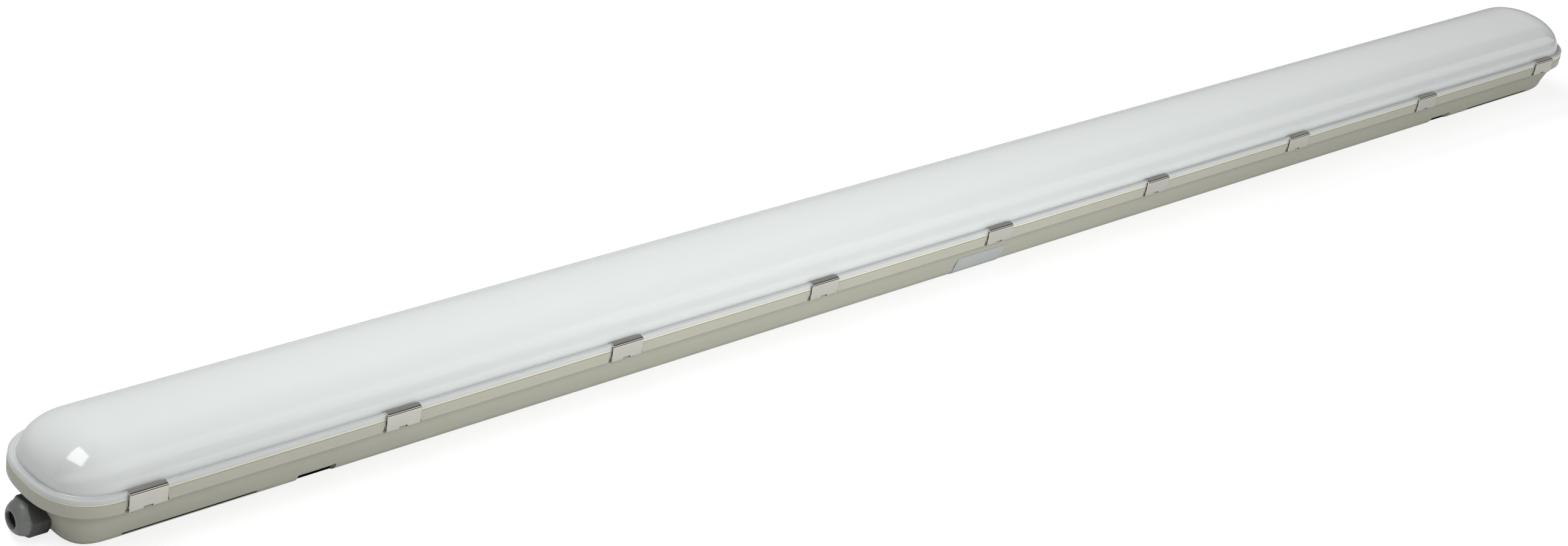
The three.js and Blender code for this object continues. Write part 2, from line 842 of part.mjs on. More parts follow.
// A flat link that bridges the joint between two boards.
function buildLink(x) {
  const length = boardGap + 2 * linkOverlap;
  return block(x, 0, length, linkWidth, boardTop + gap, boardTop + gap + linkSheet);
}

function buildDriverCase() {
  const centre = driverStart + driverLength / 2;
  const canLength = driverLength - 2 * driverEarLength;
  const inner = canLength - 2 * driverWall;
  const roof = driverTop - driverWall;
  const can = block(centre, 0, canLength, driverWidth, driverBottom, driverTop);
  const hollow = block(centre, 0, inner, driverWidth - 2 * driverWall, driverBottom - overrun, roof);
  const ears = block(centre, 0, driverLength, driverWidth / 2, driverTop - driverEarThickness, driverTop);
  let body = can.add(ears).subtract(hollow);
  const portTop = driverBottom + driverPortHeight;
  body = body.subtract(
    block(centre, 0, driverLength, driverPortWidth, driverBottom - overrun, portTop),
  );
  for (const { x, y } of driverScrewPlaces()) {
    const low = new THREE.Vector3(x, y, driverTop - driverEarThickness - overrun);
    const high = new THREE.Vector3(x, y, driverTop + overrun);
    body = body.subtract(rod(screwHoleRadius, low, high, finePinSteps));
  }
  return body;
}

function buildDriverLid() {
  const centre = driverStart + driverLength / 2;
  const length = driverLength - 2 * driverEarLength;
  const top = driverBottom - gap;
  return block(centre, 0, length, driverWidth, top - driverWall, top);
}

// The driver's circuit board hangs under the roof of its case, with its tall parts pointing down.
function buildDriverBoard() {
  const centre = driverStart + driverLength / 2;
  const length = driverLength - 2 * (driverEarLength + driverWall + gap);
  const width = driverWidth - 2 * (driverWall + gap);
  const top = driverTop - driverWall - gap;
  const underside = top - driverBoardThickness;
  let board = block(centre, 0, length, width, underside, top);
  for (const part of driverPartShares) {
    const x = centre - length / 2 + length * part.alongShare;
    const y = width * part.acrossShare;
    const low = underside - (underside - driverBottom) * part.heightShare;
    board = board.add(
      block(x, y, length * part.lengthShare, width * part.widthShare, low, underside + gap),
    );
  }
  return board;
}

const terminalBottom = wall + gap;
const terminalTop = terminalBottom + terminalHeight;

// Y places of the terminal block's poles.
function poleY(pole) {
  return (pole - (terminalPoles - 1) / 2) * terminalPitch;
}

function buildTerminalBlock() {
  let body = block(
    terminalX,
    0,
    terminalLength,
    terminalPoles * terminalPitch,
    terminalBottom,
    terminalTop,
  );
  for (let pole = 0; pole < terminalPoles; pole += 1) {
    const y = poleY(pole);
    const z = terminalBottom + terminalBoreHeight;
    const reach = terminalLength / 2 + overrun;
    const low = new THREE.Vector3(terminalX - reach, y, z);
    const high = new THREE.Vector3(terminalX + reach, y, z);
    body = body.subtract(rod(terminalBoreRadius, low, high, finePinSteps));
    const foot = new THREE.Vector3(terminalX, y, z);
    const top = new THREE.Vector3(terminalX, y, terminalTop + overrun);
    body = body.subtract(rod(terminalScrewHole, foot, top, finePinSteps));
  }
  return body;
}

// A grub screw of the terminal block, with a straight slot.
function buildTerminalScrew() {
  const top = new THREE.Vector3(0, 0, terminalScrewLength);
  const screw = rod(terminalScrewRadius, new THREE.Vector3(), top, finePinSteps);
  const floor = terminalScrewLength - screwDriveDepth;
  const roof = terminalScrewLength + overrun;
  return screw.subtract(block(0, 0, 2 * terminalScrewRadius + overrun, screwDriveWidth, floor, roof));
}

// A lead along a smooth route through points.
function buildLead(points) {
  const section = new THREE.Shape();
  for (let side = 0; side < leadSides; side += 1) {
    const angle = (2 * Math.PI * side) / leadSides;
    const x = leadRadius * Math.cos(angle);
    const y = leadRadius * Math.sin(angle);
    if (side === 0) {
      section.moveTo(x, y);
    } else {
      section.lineTo(x, y);
    }
  }
  const route = new THREE.CatmullRomCurve3(points.map(([x, y, z]) => new THREE.Vector3(x, y, z)));
  return new THREE.ExtrudeGeometry(section, { steps: leadSteps, extrudePath: route, bevelEnabled: false });
}

// A thin label that follows the body's side and the start of its round back edge.
function buildLabel() {
  const slope = Math.atan(bodyDraftShare);
  function sideLine(lift) {
    const points = [];
    const topInset = bodyBackInset - bodyDraftShare * (labelTop - backRound);
    points.push([rimHalf - topInset + lift * Math.cos(slope), labelTop - lift * Math.sin(slope)]);
    for (let step = 0; step <= labelWrapSteps; step += 1) {
      const angle = slope + (THREE.MathUtils.degToRad(labelWrap) * step) / labelWrapSteps;
      const radius = backRound + lift;
      points.push([
        rimHalf - bodyBackInset - backRound + radius * Math.cos(angle),
        backRound - radius * Math.sin(angle),
      ]);
    }
    return points;
  }
  const near = sideLine(labelLift);
  const far = sideLine(labelLift + labelThickness).reverse();
  const outline = new THREE.Shape([...near, ...far].map(([x, y]) => new THREE.Vector2(x, y)));
  const geometry = new THREE.ExtrudeGeometry(outline, { depth: labelLength, bevelEnabled: false });
  const outwards = new THREE.Vector3(0, -1, 0);
  const upwards = new THREE.Vector3(0, 0, 1);
  const along = new THREE.Vector3(-1, 0, 0);
  geometry.applyMatrix4(new THREE.Matrix4().makeBasis(outwards, upwards, along));
  geometry.translate(labelStart + labelLength, 0, 0);
  return geometry;
}

// Routes of the fixed leads inside the housing
const leadHeight = terminalBottom + terminalBoreHeight;
const terminalFar = terminalX + terminalLength / 2 - leadEntry;
const driverEntry = driverStart + driverEarLength + driverWall;
const driverExit = driverStart + driverLength - driverEarLength - driverWall;
const portHeight = driverBottom + driverPortHeight / 2;
const outputPortX = boardJoints()[0];

addPart('housing', geometryOf(buildHousing()), housingFinish);
addPart('gasket', geometryOf(buildGasket()), gasketFinish);
addPart('diffuser', geometryOf(buildDiffuser()), diffuserFinish);

const clipGeometry = geometryOf(buildClip());
clipPlaces().forEach((x, number) => {
  const front = new THREE.Vector3(x, -pivotY, pivotZ);
  const back = new THREE.Vector3(x, pivotY, pivotZ);
  addPart(`clip_front_${number + 1}`, clipGeometry, steelFinish, front);
  addPart(`clip_back_${number + 1}`, clipGeometry, steelFinish, back, new THREE.Euler(0, 0, Math.PI));
});

addPart('gland_body', geometryOf(buildGlandBody()), glandFinish);
addPart('gland_seal', geometryOf(buildGlandSeal()), rubberFinish);
addPart('gland_washer', geometryOf(buildGlandWasher()), rubberFinish);
addPart('gland_nut', geometryOf(buildGlandNut()), glandFinish);

addPart('gear_tray', geometryOf(buildTray()), trayFinish);
const trayScrew = geometryOf(buildScrew(trayScrewLength));
trayScrewPlaces().forEach(({ x, y }, number) => {
  addPart(`tray_screw_${number + 1}`, trayScrew, screwFinish, new THREE.Vector3(x, y, trayTop + gap));
});

for (let number = 0; number < boardCount; number += 1) {
  addPart(`led_board_${number + 1}`, geometryOf(buildBoard(number)), boardFinish);
}
boardJoints().forEach((x, number) => {
  addPart(`led_link_${number + 1}`, geometryOf(buildLink(x)), terminalFinish);
});
const boardScrew = geometryOf(buildScrew(boardScrewLength));
boardScrewPlaces().forEach(({ x, y }, number) => {
  addPart(`board_screw_${number + 1}`, boardScrew, screwFinish, new THREE.Vector3(x, y, boardTop + gap));
});

addPart('driver_case', geometryOf(buildDriverCase()), driverFinish);
addPart('driver_lid', geometryOf(buildDriverLid()), driverFinish);
addPart('driver_board', geometryOf(buildDriverBoard()), circuitFinish);
const driverScrew = geometryOf(buildScrew(driverScrewLength));
driverScrewPlaces().forEach(({ x, y }, number) => {
  const place = new THREE.Vector3(x, y, driverTop - driverEarThickness - gap);
  const upsideDown = new THREE.Euler(Math.PI, 0, 0);
  addPart(`driver_screw_${number + 1}`, driverScrew, screwFinish, place, upsideDown);
});

addPart('terminal_block', geometryOf(buildTerminalBlock()), terminalFinish);
const terminalScrew = geometryOf(buildTerminalScrew());
for (let pole = 0; pole < terminalPoles; pole += 1) {
  const foot = terminalTop - terminalScrewLength - gap;
  const place = new THREE.Vector3(terminalX, poleY(pole), foot);
  addPart(`terminal_screw_${pole + 1}`, terminalScrew, screwFinish, place);
}
const earthPlace = new THREE.Vector3(earthScrewX, earthScrewY, trayTop + gap);
addPart('earth_screw', geometryOf(buildScrew(boardScrewLength)), screwFinish, earthPlace);

const liveRoute = [
  [terminalFar, poleY(2), leadHeight],
  [terminalFar + leadStraight, poleY(2), leadHeight],
  [driverEntry - leadTurn, poleY(2) - leadSway, portHeight + leadRadius],
  [driverEntry + leadReach, leadPortSpread, portHeight],
];
const neutralRoute = [
  [terminalFar, poleY(1), leadHeight],
  [terminalFar + leadStraight, poleY(1), leadHeight],
  [driverEntry - leadTurn, poleY(1) + leadRadius, portHeight + leadRadius],
  [driverEntry + leadReach, 0, portHeight],
];
const earthRoute = [
  [terminalFar, poleY(0), leadHeight],
  [terminalFar + earthLeadStraight, poleY(0) - leadReach, leadHeight],
  [earthScrewX, earthScrewY + leadPortSpread, leadHeight + earthLeadClimb],
  [earthScrewX, earthScrewY, trayTop - boardScrewLength - earthLeadEnd],
];
addPart('lead_live', buildLead(liveRoute), liveFinish);
addPart('lead_neutral', buildLead(neutralRoute), neutralFinish);
addPart('lead_earth', buildLead(earthRoute), earthFinish);

// The output leads climb through the tray at the first joint and meet the second board's edge.
function outputRoute(side) {
  const y = side * leadSpread;
  return [
    [driverExit - leadReach, side * leadPortSpread, portHeight],
    [driverExit + outputStraight, side * (leadPortSpread + leadRadius), portHeight],
    [outputPortX - outputBend, y, portHeight + outputBend],
    [outputPortX, y, trayUnderside - outputBend],
    [outputPortX, y, boardTop],
  ];
}
addPart('lead_plus', buildLead(outputRoute(1)), plusFinish);
addPart('lead_minus', buildLead(outputRoute(-1)), minusFinish);

addPart('label', buildLabel(), labelFinish);

export default parts;
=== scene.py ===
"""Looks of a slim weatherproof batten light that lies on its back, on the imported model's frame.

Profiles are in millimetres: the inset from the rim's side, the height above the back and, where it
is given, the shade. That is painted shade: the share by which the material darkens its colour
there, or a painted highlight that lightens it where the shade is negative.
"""

import math

import bmesh
import bpy
import numpy as np
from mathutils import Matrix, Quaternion, Vector


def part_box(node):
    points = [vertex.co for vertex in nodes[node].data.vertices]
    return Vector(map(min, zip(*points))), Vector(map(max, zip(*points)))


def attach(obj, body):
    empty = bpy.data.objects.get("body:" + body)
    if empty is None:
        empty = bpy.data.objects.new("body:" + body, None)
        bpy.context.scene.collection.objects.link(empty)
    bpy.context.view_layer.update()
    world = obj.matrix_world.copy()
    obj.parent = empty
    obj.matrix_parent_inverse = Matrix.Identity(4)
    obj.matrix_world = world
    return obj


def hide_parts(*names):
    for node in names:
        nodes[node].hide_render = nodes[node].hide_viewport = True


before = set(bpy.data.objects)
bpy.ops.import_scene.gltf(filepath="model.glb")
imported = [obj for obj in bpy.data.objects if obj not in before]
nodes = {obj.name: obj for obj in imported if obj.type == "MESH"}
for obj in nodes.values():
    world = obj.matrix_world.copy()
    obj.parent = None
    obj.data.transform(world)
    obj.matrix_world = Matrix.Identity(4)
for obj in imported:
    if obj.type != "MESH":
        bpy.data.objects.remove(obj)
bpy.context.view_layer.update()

MM = 0.001
HOUSING_BODY = "housing_group"
DIFFUSER_BODY = "diffuser_group"

# Plan and heights, in millimetres
RIM_HALF = 43.5
RIM_REACH = 750.0
RIM_EXPONENT = 2.5
BODY_REACH = 747.2
BODY_EXPONENT = 3.6
DOME_EXPONENTS = (2.45, 2.1)
RIM_BOTTOM = 29.3
RIM_TOP = 37.1
CHANNEL_TOP = 33.3
BODY_RIM_INSET = 4.75
BODY_DRAFT = 0.3283
BACK_ROUND = 10.0
WALL = 2.0
SKIRT = 2.0
BODY_BACK_INSET = BODY_RIM_INSET + BODY_DRAFT * (RIM_BOTTOM - BACK_ROUND)
GROOVE = (1.7, 4.6)
GROOVE_FLOOR = 35.0

# Painted shade of the housing: height and shade up the wall, darker under the rim's overhang, and
# then at and above the rim's hem, in its channel, in the clip recesses and in the open pockets
WALL_SHADES = ((15.0, 0.0), (18.0, 0.0), (20.8, 0.05), (22.8, 0.17), (24.2, 0.22))
HEM_SHADE, RECESS_HEM_SHADE = 0.2, 0.6
CHANNEL_SHADE, RECESS_SHADE = 0.5, 0.85
OPEN_POCKET_SHADE = 0.25

# Stations round the outline
END_ANGLE = math.radians(81.0)
END_STEPS = 60
SIDE_REACH = 709.8
SPREAD_REACH = 700.0
SPREAD_STEPS = 29
CUT_HAIR = 0.12
CUT_ROOM = 2.0

# Meshes: merging distances in metres and the usual angle of a sharp edge in degrees
MERGE_DISTANCE = 2e-6
DEGENERATE_DISTANCE = 1e-7
SHARP_DEGREES = 38.0

# Clips
CLIP_PLACES = np.array([(number - 4) * 174.0 for number in range(9)])
CLIP_WIDTH = 24.6
RECESS_HALF = CLIP_WIDTH / 2 + 1.2
PIVOT_Y = 43.3
PIVOT_Z = 30.423
SHEET = 0.6
CURL_MIDDLE = 1.45
PLATE_HEIGHT = 9.9
BEND_RADIUS = 1.6
HOOK_REACH = 4.35
HOOK_RISE = 12.5
CURL_WRAP = 170.0
# Painted shadow in strips on the rim's face beside each clip plate's edges: reach from the clip's
# middle, and shade
GAP_SHADOW_REACH = (10.2, 12.35)
GAP_SHADOW_SHADE = 0.75
NOTCH_HALF = 3.1
NOTCH_TOP = 0.9
BAR_RADIUS = 0.8
BAR_OVERLAP = 0.3
# Painted shade on the pivot bars, which sit in shade inside the clips' curls
BAR_SHADE = 0.6
LUG_HALF = 0.75
LUG_END = 1.0
LUG_OVERLAP = 0.2
BULGE = (0.02, 0.09)
TILT = 0.06

# Pockets along the back edges
POCKET_INSET = 17.5
OPEN_POCKET = (559.0, 586.0)
OPEN_POCKET_TOP = 8.0
SLOT_POCKET = (613.8, 703.5)
SLOT_POCKET_TOP = 5.9
LIP_TOP = 3.6
LIP_INSET = 13.7
ROOF_INSET = 0.3

# Gland, with its places along X
GLAND_HEIGHT = 13.0
HEX_APOTHEM = 11.0
HEX_TURN = math.radians(51.0)
BOSS_BORE, BOSS_RADIUS = 9.7, 11.2
BOSS_BACK, BOSS_FACE = -725.2, -735.2
NOSE_FOOT, NOSE_LENGTH = -749.45, 6.25
NOSE_RADIUS, NOSE_SPREAD = 5.9, 5.05
NOSE_POWER = 1.25
# Painted shade on the gland's collar and on its cap nut's hexagon, fading to none on the nose between
# the shade places along X
FLAT_SHADE = 0.7
SHADE_PLACES = (-749.7, -748.5)

# Diffuser
FLANGE_BOTTOM = 38.2
DOME_BASE = 41.0
DOME_RISE = 23.4
DOME_INSET = 4.0
DOME_WALL = 1.8
DOME_POWER = 2.3
DOME_END_INSET = 0.5
# Painted shade on the opal cover: by height above the dome's base, and on the flange from its foot to
# its crest
DOME_SHADE_HEIGHTS = (0.0, 1.0, 2.5, 5.0, 10.0, 16.0)
DOME_SHADES = (0.02, 0.08, 0.1, 0.08, 0.04, 0.0)
FLANGE_SHADES = (0.24, 0.1)

# Insides, as places in metres on the Y and Z axes
PACKAGE_TOP = (0.03222, 0.0324)
LENS_HALF = 0.0012
PAD_STRIP = (0.0045, 0.0049)
CIRCUIT_BOTTOM = 0.0249
LABEL_LINE = (0.0008, 0.0012)

# Surroundings, with the stops of a room that only reflections show: half turns from +Y and level
WORLD_LEVEL = 0.15
ROOM_STOPS = (
    (0.0, 0.25),
    (0.2, 0.4),
    (0.36, 0.4),
    (0.42, 0.06),
    (0.58, 0.06),
    (0.64, 1.0),
    (0.78, 1.0),
    (0.84, 0.06),
    (1.0, 0.06),
)
FLOOR_REACH = 30.0
FLOOR_HEIGHT = -0.0003
FLOOR_BASE = 0.92
FLOOR_BEHIND = 0.35
FLOOR_SEEN = 0.28
FLOOR_GLOW = 0.82
FADE_START, FADE_RATE = 0.02, 5.0

# Camera, in millimetres, metres and degrees
SENSOR_WIDTH = 36.0
LENS = 65.153
CAMERA_PLACE = (-1.43159, -1.16292, 0.95874)
CAMERA_TURN = (60.98976, -9.43515, -42.16769)


def linear(red, green, blue):
    """An 8-bit screen colour as the linear colour that shaders use."""
    values = np.array([red, green, blue]) / 255.0
    low = values / 12.92
    high = ((values + 0.055) / 1.055) ** 2.4
    return (*np.where(values <= 0.04045, low, high).tolist(), 1.0)


def grey(level):
    return (level, level, level, 1.0)


LEAD_COLOURS = {
    "lead_live": linear(112, 66, 36),
    "lead_neutral": linear(45, 108, 178),
    "lead_earth": linear(82, 150, 58),
    "lead_plus": linear(178, 58, 50),
    "lead_minus": linear(40, 40, 40),
}


# Meshes


def side_places(cuts):
    """Places along a side: both sides of every cut, a hair apart, and a few more between them."""
    edges = np.concatenate([np.asarray(cuts) - CUT_HAIR, np.asarray(cuts) + CUT_HAIR])
    spread = np.linspace(-SPREAD_REACH, SPREAD_REACH, SPREAD_STEPS)
    nearest = np.abs(spread[:, None] - edges[None, :]).min(axis=1, initial=np.inf)
    return np.unique(np.concatenate([edges, spread[nearest > CUT_ROOM], [-SIDE_REACH, SIDE_REACH]]))


class Ring:
    """Stations round a long outline with superelliptic ends: front side first, anticlockwise."""

    def __init__(self, cuts=()):
        along = side_places(cuts)
        angles = np.linspace(-END_ANGLE, END_ANGLE, END_STEPS)
        blank = np.zeros_like(along)
        self.is_side = np.concatenate([blank + 1, angles * 0, blank + 1, angles * 0]).astype(bool)
        self.along = np.concatenate([along, angles * 0, along[::-1], angles * 0])
        self.angle = np.concatenate([blank, angles, blank, angles + math.pi])
        self.sign = np.concatenate([blank - 1, angles * 0, blank + 1, angles * 0])

    def points(self, half, reach, exponent):
        """x and y of every station for rows of half width, end reach and exponent.

        On a side, y = half * (1 - over ** n) ** (1 / n), where over is how far x is past the end's
        centre, as a share. On an end, the superellipse is |x| ** n + |y| ** n = half ** n, in polar
        form about the end's centre.
        """
        half = np.maximum(np.asarray(half, float)[:, None], 1e-6)
        centre = np.asarray(reach, float)[:, None] - half
        n = np.asarray(exponent, float)[:, None]
        along = np.abs(self.along)[None, :]
        over = np.clip((along - centre) / RIM_HALF, 0.0, 1.0)
        side_x = np.sign(self.along)[None, :] * np.where(along > centre, centre + over * half, along)
        side_y = self.sign[None, :] * half * (1.0 - over**n) ** (1.0 / n)
        cos, sin = np.cos(self.angle)[None, :], np.sin(self.angle)[None, :]
        radius = half / (np.abs(cos) ** n + np.abs(sin) ** n) ** (1.0 / n)
        end_x = np.sign(cos) * centre + radius * cos
        end_y = radius * sin
        return np.where(self.is_side, side_x, end_x), np.where(self.is_side, side_y, end_y)


def span_mask(ring, spans):
    """True at the stations of the sides that lie inside one of the spans along x."""
    mask = np.zeros(len(ring.along), bool)
    for low, high in spans:
        mask |= (ring.along > low) & (ring.along < high)
    return mask & ring.is_side


def finish_mesh(name, points, faces, sharp_degrees=SHARP_DEGREES, shade=None):
    """A smooth-shaded mesh object at the origin, from points in millimetres and a painted shade for
    each.
    """
    mesh = bpy.data.meshes.new(name)
    mesh.from_pydata((points * MM).tolist(), [], faces.tolist())
    if shade is not None:
        mesh.attributes.new("shade", "FLOAT", "POINT").data.foreach_set("value", np.ravel(shade))
    work = bmesh.new()
    work.from_mesh(mesh)
    bmesh.ops.remove_doubles(work, verts=work.verts, dist=MERGE_DISTANCE)
    bmesh.ops.dissolve_degenerate(work, edges=work.edges, dist=DEGENERATE_DISTANCE)
    work.to_mesh(mesh)
    work.free()
    mesh.polygons.foreach_set("use_smooth", np.ones(len(mesh.polygons), bool))
    mesh.set_sharp_from_angle(angle=math.radians(sharp_degrees))
    mesh.update()
    piece = bpy.data.objects.new(name, mesh)
    bpy.context.scene.collection.objects.link(piece)
    return piece


def grid_faces(rows, columns, wrap_rows):
    """Quads between neighbours of a grid that wraps along its columns, numbered row by row."""
    row = np.arange(rows if wrap_rows else rows - 1)
    r, c = np.meshgrid(row, np.arange(columns), indexing="ij")
    r2, c2 = (r + 1) % rows, (c + 1) % columns
    quads = [r * columns + c, r * columns + c2, r2 * columns + c2, r2 * columns + c]
    return np.stack(quads, axis=-1).reshape(-1, 4)


def grid_piece(name, x, y, z, wrap_rows=False, sharp_degrees=SHARP_DEGREES, shade=0.0):
    """A piece from a grid of points that wraps along its columns, one array for each coordinate."""
    x, y, z, shade = np.broadcast_arrays(x, y, z, shade)
    points = np.stack([x, y, z], axis=-1)
    rows, columns = points.shape[:2]
    faces = grid_faces(rows, columns, wrap_rows)
    return finish_mesh(name, points.reshape(-1, 3), faces, sharp_degrees, shade)


def rounded(points, radii, steps=4):
    """An open polyline whose inner corners are arcs, each from tangent point to tangent point.

    A corner that is nearly straight is repeated, so that the number of points stays the same.
    """
    points = np.asarray(points, float)
    out = [points[:1]]
    for before, corner, after, r in zip(points[:-2], points[1:-1], points[2:], radii[1:-1]):
        if r <= 0:
            out.append(corner[None, :])
            continue
        u = (before - corner) / np.linalg.norm(before - corner)
        v = (after - corner) / np.linalg.norm(after - corner)
        half_angle = math.acos(float(np.clip(np.dot(u, v), -1, 1))) / 2
        if half_angle > math.pi / 2 - 1e-6:
            out.append(np.repeat(corner[None, :], steps + 1, axis=0))
            continue
        t = np.linspace(0.0, 1.0, steps + 1)[:, None]
        centre = corner + (u + v) / np.linalg.norm(u + v) * r / math.sin(half_angle)
        start = corner + u * r / math.tan(half_angle) - centre
        end = corner + v * r / math.tan(half_angle) - centre
        sweep = math.pi - 2 * half_angle
        arc = (np.sin((1 - t) * sweep) * start + np.sin(t * sweep) * end) / math.sin(sweep)
        out.append(centre + arc)
    out.append(points[-1:])
    return np.concatenate(out)


def back_edge(angle, drawn_in=0.0):
    """Inset and height on the round back edge, at a quarter turn on the back and 0 at the wall."""
    radius = BACK_ROUND - drawn_in
    inset = BODY_BACK_INSET + drawn_in + radius * (1 - np.cos(angle))
    return np.stack([inset, BACK_ROUND - radius * np.sin(angle)], axis=-1)


def edge_angle(height):
    """The round back edge's angle at a height."""
    return math.asin((BACK_ROUND - height) / BACK_ROUND)


def inset_angle(inset):
    """The round back edge's angle at an inset."""
    return math.acos(1 - (inset - BODY_BACK_INSET) / BACK_ROUND)


def housing_profile(kind):
    """Rows from the middle of the back, up the wall, over the rim and down to the inside's floor.

    The first array holds each row's plan, 0 on the body's outline and 1 on the rim's, and the second
    its inset, height and painted shade. Every kind of place has the same number of rows, so that
    places can be mixed along the fixture.
    """
    in_recess = kind == "recess"
    top = OPEN_POCKET_TOP if kind == "open" else SLOT_POCKET_TOP
    low_arc = back_edge(np.linspace(math.pi / 2, inset_angle(LIP_INSET), 7))
    if kind == "open":
        low_arc[:, 0] = np.maximum(low_arc[:, 0], POCKET_INSET)
    roof_edge = back_edge(edge_angle(top))[0] + ROOF_INSET
    # A slot has a lip, a floor, a back and a roof; an open pocket has a back and a roof. Their insides
    # carry painted shade, and the slot's lip edge and both roofs' edges a painted highlight (negative
    # shade)
    pocket_rows = {
        "slot": [
            [LIP_INSET, LIP_TOP - 0.25, 0.0],
            [LIP_INSET + 0.1, LIP_TOP, -0.3],
            [LIP_INSET + 0.4, LIP_TOP, 0.4],
            [LIP_INSET + 0.5, 3.2, 0.9],
            [POCKET_INSET, 1.4, 0.95],
            [POCKET_INSET, top, 0.95],
            [roof_edge + 0.6, top, 0.9],
            [roof_edge, top, -0.3],
        ],
        "open": [[POCKET_INSET, 1.0 + 0.8 * step, 0.25 + 0.02 * step] for step in range(5)]
        + [[POCKET_INSET, top, 0.75], [roof_edge + 0.6, top, 0.8], [roof_edge, top, -0.2]],
    }
    heights = (3.35, 3.45, LIP_TOP, 4.0, 4.5, 5.2, top - 0.1, top)
    surface_rows = [[*back_edge(edge_angle(height)), 0.0] for height in heights]
    low_shade = OPEN_POCKET_SHADE if kind == "open" else 0.0
    rows = [[RIM_HALF, 0.0, 0.0], [BODY_BACK_INSET + BACK_ROUND + 0.6, 0.0, low_shade]]
    rows += [[inset, height, low_shade] for inset, height in low_arc]
    rows += pocket_rows.get(kind, surface_rows)
    rows += [[*point, 0.0] for point in back_edge(np.linspace(edge_angle(top + 0.3), 0.0, 9))]
    wall = [*WALL_SHADES, (RIM_BOTTOM, RECESS_HEM_SHADE if in_recess else HEM_SHADE)]
    rows += [[BODY_BACK_INSET - BODY_DRAFT * (h - BACK_ROUND), h, shade] for h, shade in wall]
    rows += [[BODY_RIM_INSET, CHANNEL_TOP, RECESS_SHADE if in_recess else CHANNEL_SHADE]]
    body = np.array(rows)

    hem = CHANNEL_TOP if in_recess else RIM_BOTTOM
    hem_round = 0.02 if in_recess else 0.45
    outline = [
        [SKIRT + 0.4, CHANNEL_TOP],
        [SKIRT + 0.1, CHANNEL_TOP] if in_recess else [SKIRT, CHANNEL_TOP - 0.3],
        [SKIRT, hem],
        [0.0, hem],
        [0.0, RIM_TOP],
        [GROOVE[0], RIM_TOP],
        [GROOVE[0], GROOVE_FLOOR],
        [GROOVE[1], GROOVE_FLOOR],
        [GROOVE[1], RIM_TOP],
        [BODY_RIM_INSET + WALL - 0.3, RIM_TOP],
    ]
    rim = rounded(outline, [0, 0, hem_round * 0.6, hem_round, 0.5, 0.3, 0, 0, 0.2, 0])

    floor_side = back_edge(np.linspace(0.0, math.pi / 2, 8), WALL)
    inner = [[BODY_RIM_INSET + WALL, RIM_TOP - 0.3], [BODY_RIM_INSET + WALL, RIM_BOTTOM]]
    inside = np.concatenate([np.array(inner), floor_side, [[RIM_HALF, WALL]]])
    rest = np.concatenate([rim, inside])
    plan = np.concatenate([np.zeros(len(body)), np.ones(len(rim)), np.zeros(len(inside))])
    # Painted shade on the rim's underside in the clip recesses
    under_clip = (rest[:, 1] <= CHANNEL_TOP) & (plan[len(body) :] == 1) & in_recess
    rest_shade = np.where(under_clip, RECESS_SHADE, 0.0)
    return plan, np.concatenate([body, np.column_stack([rest, rest_shade])])


def make_housing():
    """The moulded housing, with recesses for the clips and pockets along the back edges."""
    spans = {
        "recess": [(place - RECESS_HALF, place + RECESS_HALF) for place in CLIP_PLACES],
        "open": [OPEN_POCKET, (-OPEN_POCKET[1], -OPEN_POCKET[0])],
        "slot": [SLOT_POCKET, (-SLOT_POCKET[1], -SLOT_POCKET[0])],
    }
    # Strips of painted shadow on the rim beside the edges of each clip plate
    low, high = GAP_SHADOW_REACH
    gap_shadows = ((-high, -low), (low, high))
    gap_shadow_spans = [(place + start, place + end) for place in CLIP_PLACES for start, end in gap_shadows]
    ring = Ring(np.concatenate([np.ravel(pairs) for pairs in [*spans.values(), gap_shadow_spans]]))
    plan, plain = housing_profile("plain")
    profile = np.repeat(plain[:, None, :], len(ring.along), axis=1)
    for kind, pairs in spans.items():
        mask = span_mask(ring, pairs)
        profile[:, mask] += (housing_profile(kind)[1] - plain)[:, None, :]
    # The rim's face in those strips gets the painted shadow
    strips = span_mask(ring, gap_shadow_spans)
    rim_face = (plan == 1) & (plain[:, 0] < 0.1) & (plain[:, 1] < RIM_TOP - 0.3)
    profile[np.ix_(rim_face, strips, [2])] = GAP_SHADOW_SHADE
    inset, height = profile[..., 0], profile[..., 1]
    x = np.empty_like(inset)
    y = np.empty_like(inset)
    for row, on_rim in enumerate(plan):
        reach, exponent = (RIM_REACH, RIM_EXPONENT) if on_rim else (BODY_REACH, BODY_EXPONENT)
        values = inset[row]
        for value in np.unique(values):
            pick = values == value
            row_x, row_y = ring.points([RIM_HALF - value], [reach - value], [exponent])
            x[row, pick] = row_x[0, pick]
            y[row, pick] = row_y[0, pick]
    piece = grid_piece("housing_shell", x, y, height, shade=profile[..., 2])
    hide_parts("housing")
    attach(piece, HOUSING_BODY)
    return piece


def tube_points(radius, start, end, sides=20):
    """Rings of a closed level bar: a circle from start to end, drawn in to the axis at both ends."""
    start, end = np.asarray(start, float), np.asarray(end, float)
    axis = (end - start) / np.linalg.norm(end - start)
    across = np.cross(axis, [0.0, 0.0, 1.0])
    across /= np.linalg.norm(across)
    up = np.cross(axis, across)
    angle = np.linspace(0, 2 * math.pi, sides, endpoint=False)
    circle = np.cos(angle)[:, None] * across + np.sin(angle)[:, None] * up
    radii = np.array([0.0, radius, radius, 0.0])
    places = np.stack([start, start, end, end])
    return places[:, None, :] + radii[:, None, None] * circle[None, :, :]


def join_grids(name, grids, shades):
    """One piece from several closed grids with a painted shade each, which wrap along their columns.
    """
    points, faces, first = [], [], 0
    for grid in grids:
        rows, columns = grid.shape[:2]
        faces.append(grid_faces(rows, columns, wrap_rows=False) + first)
        points.append(grid.reshape(-1, 3))
        first += rows * columns
    shade = np.repeat(shades, [len(part) for part in points])
    return finish_mesh(name, np.concatenate(points), np.concatenate(faces), shade=shade)


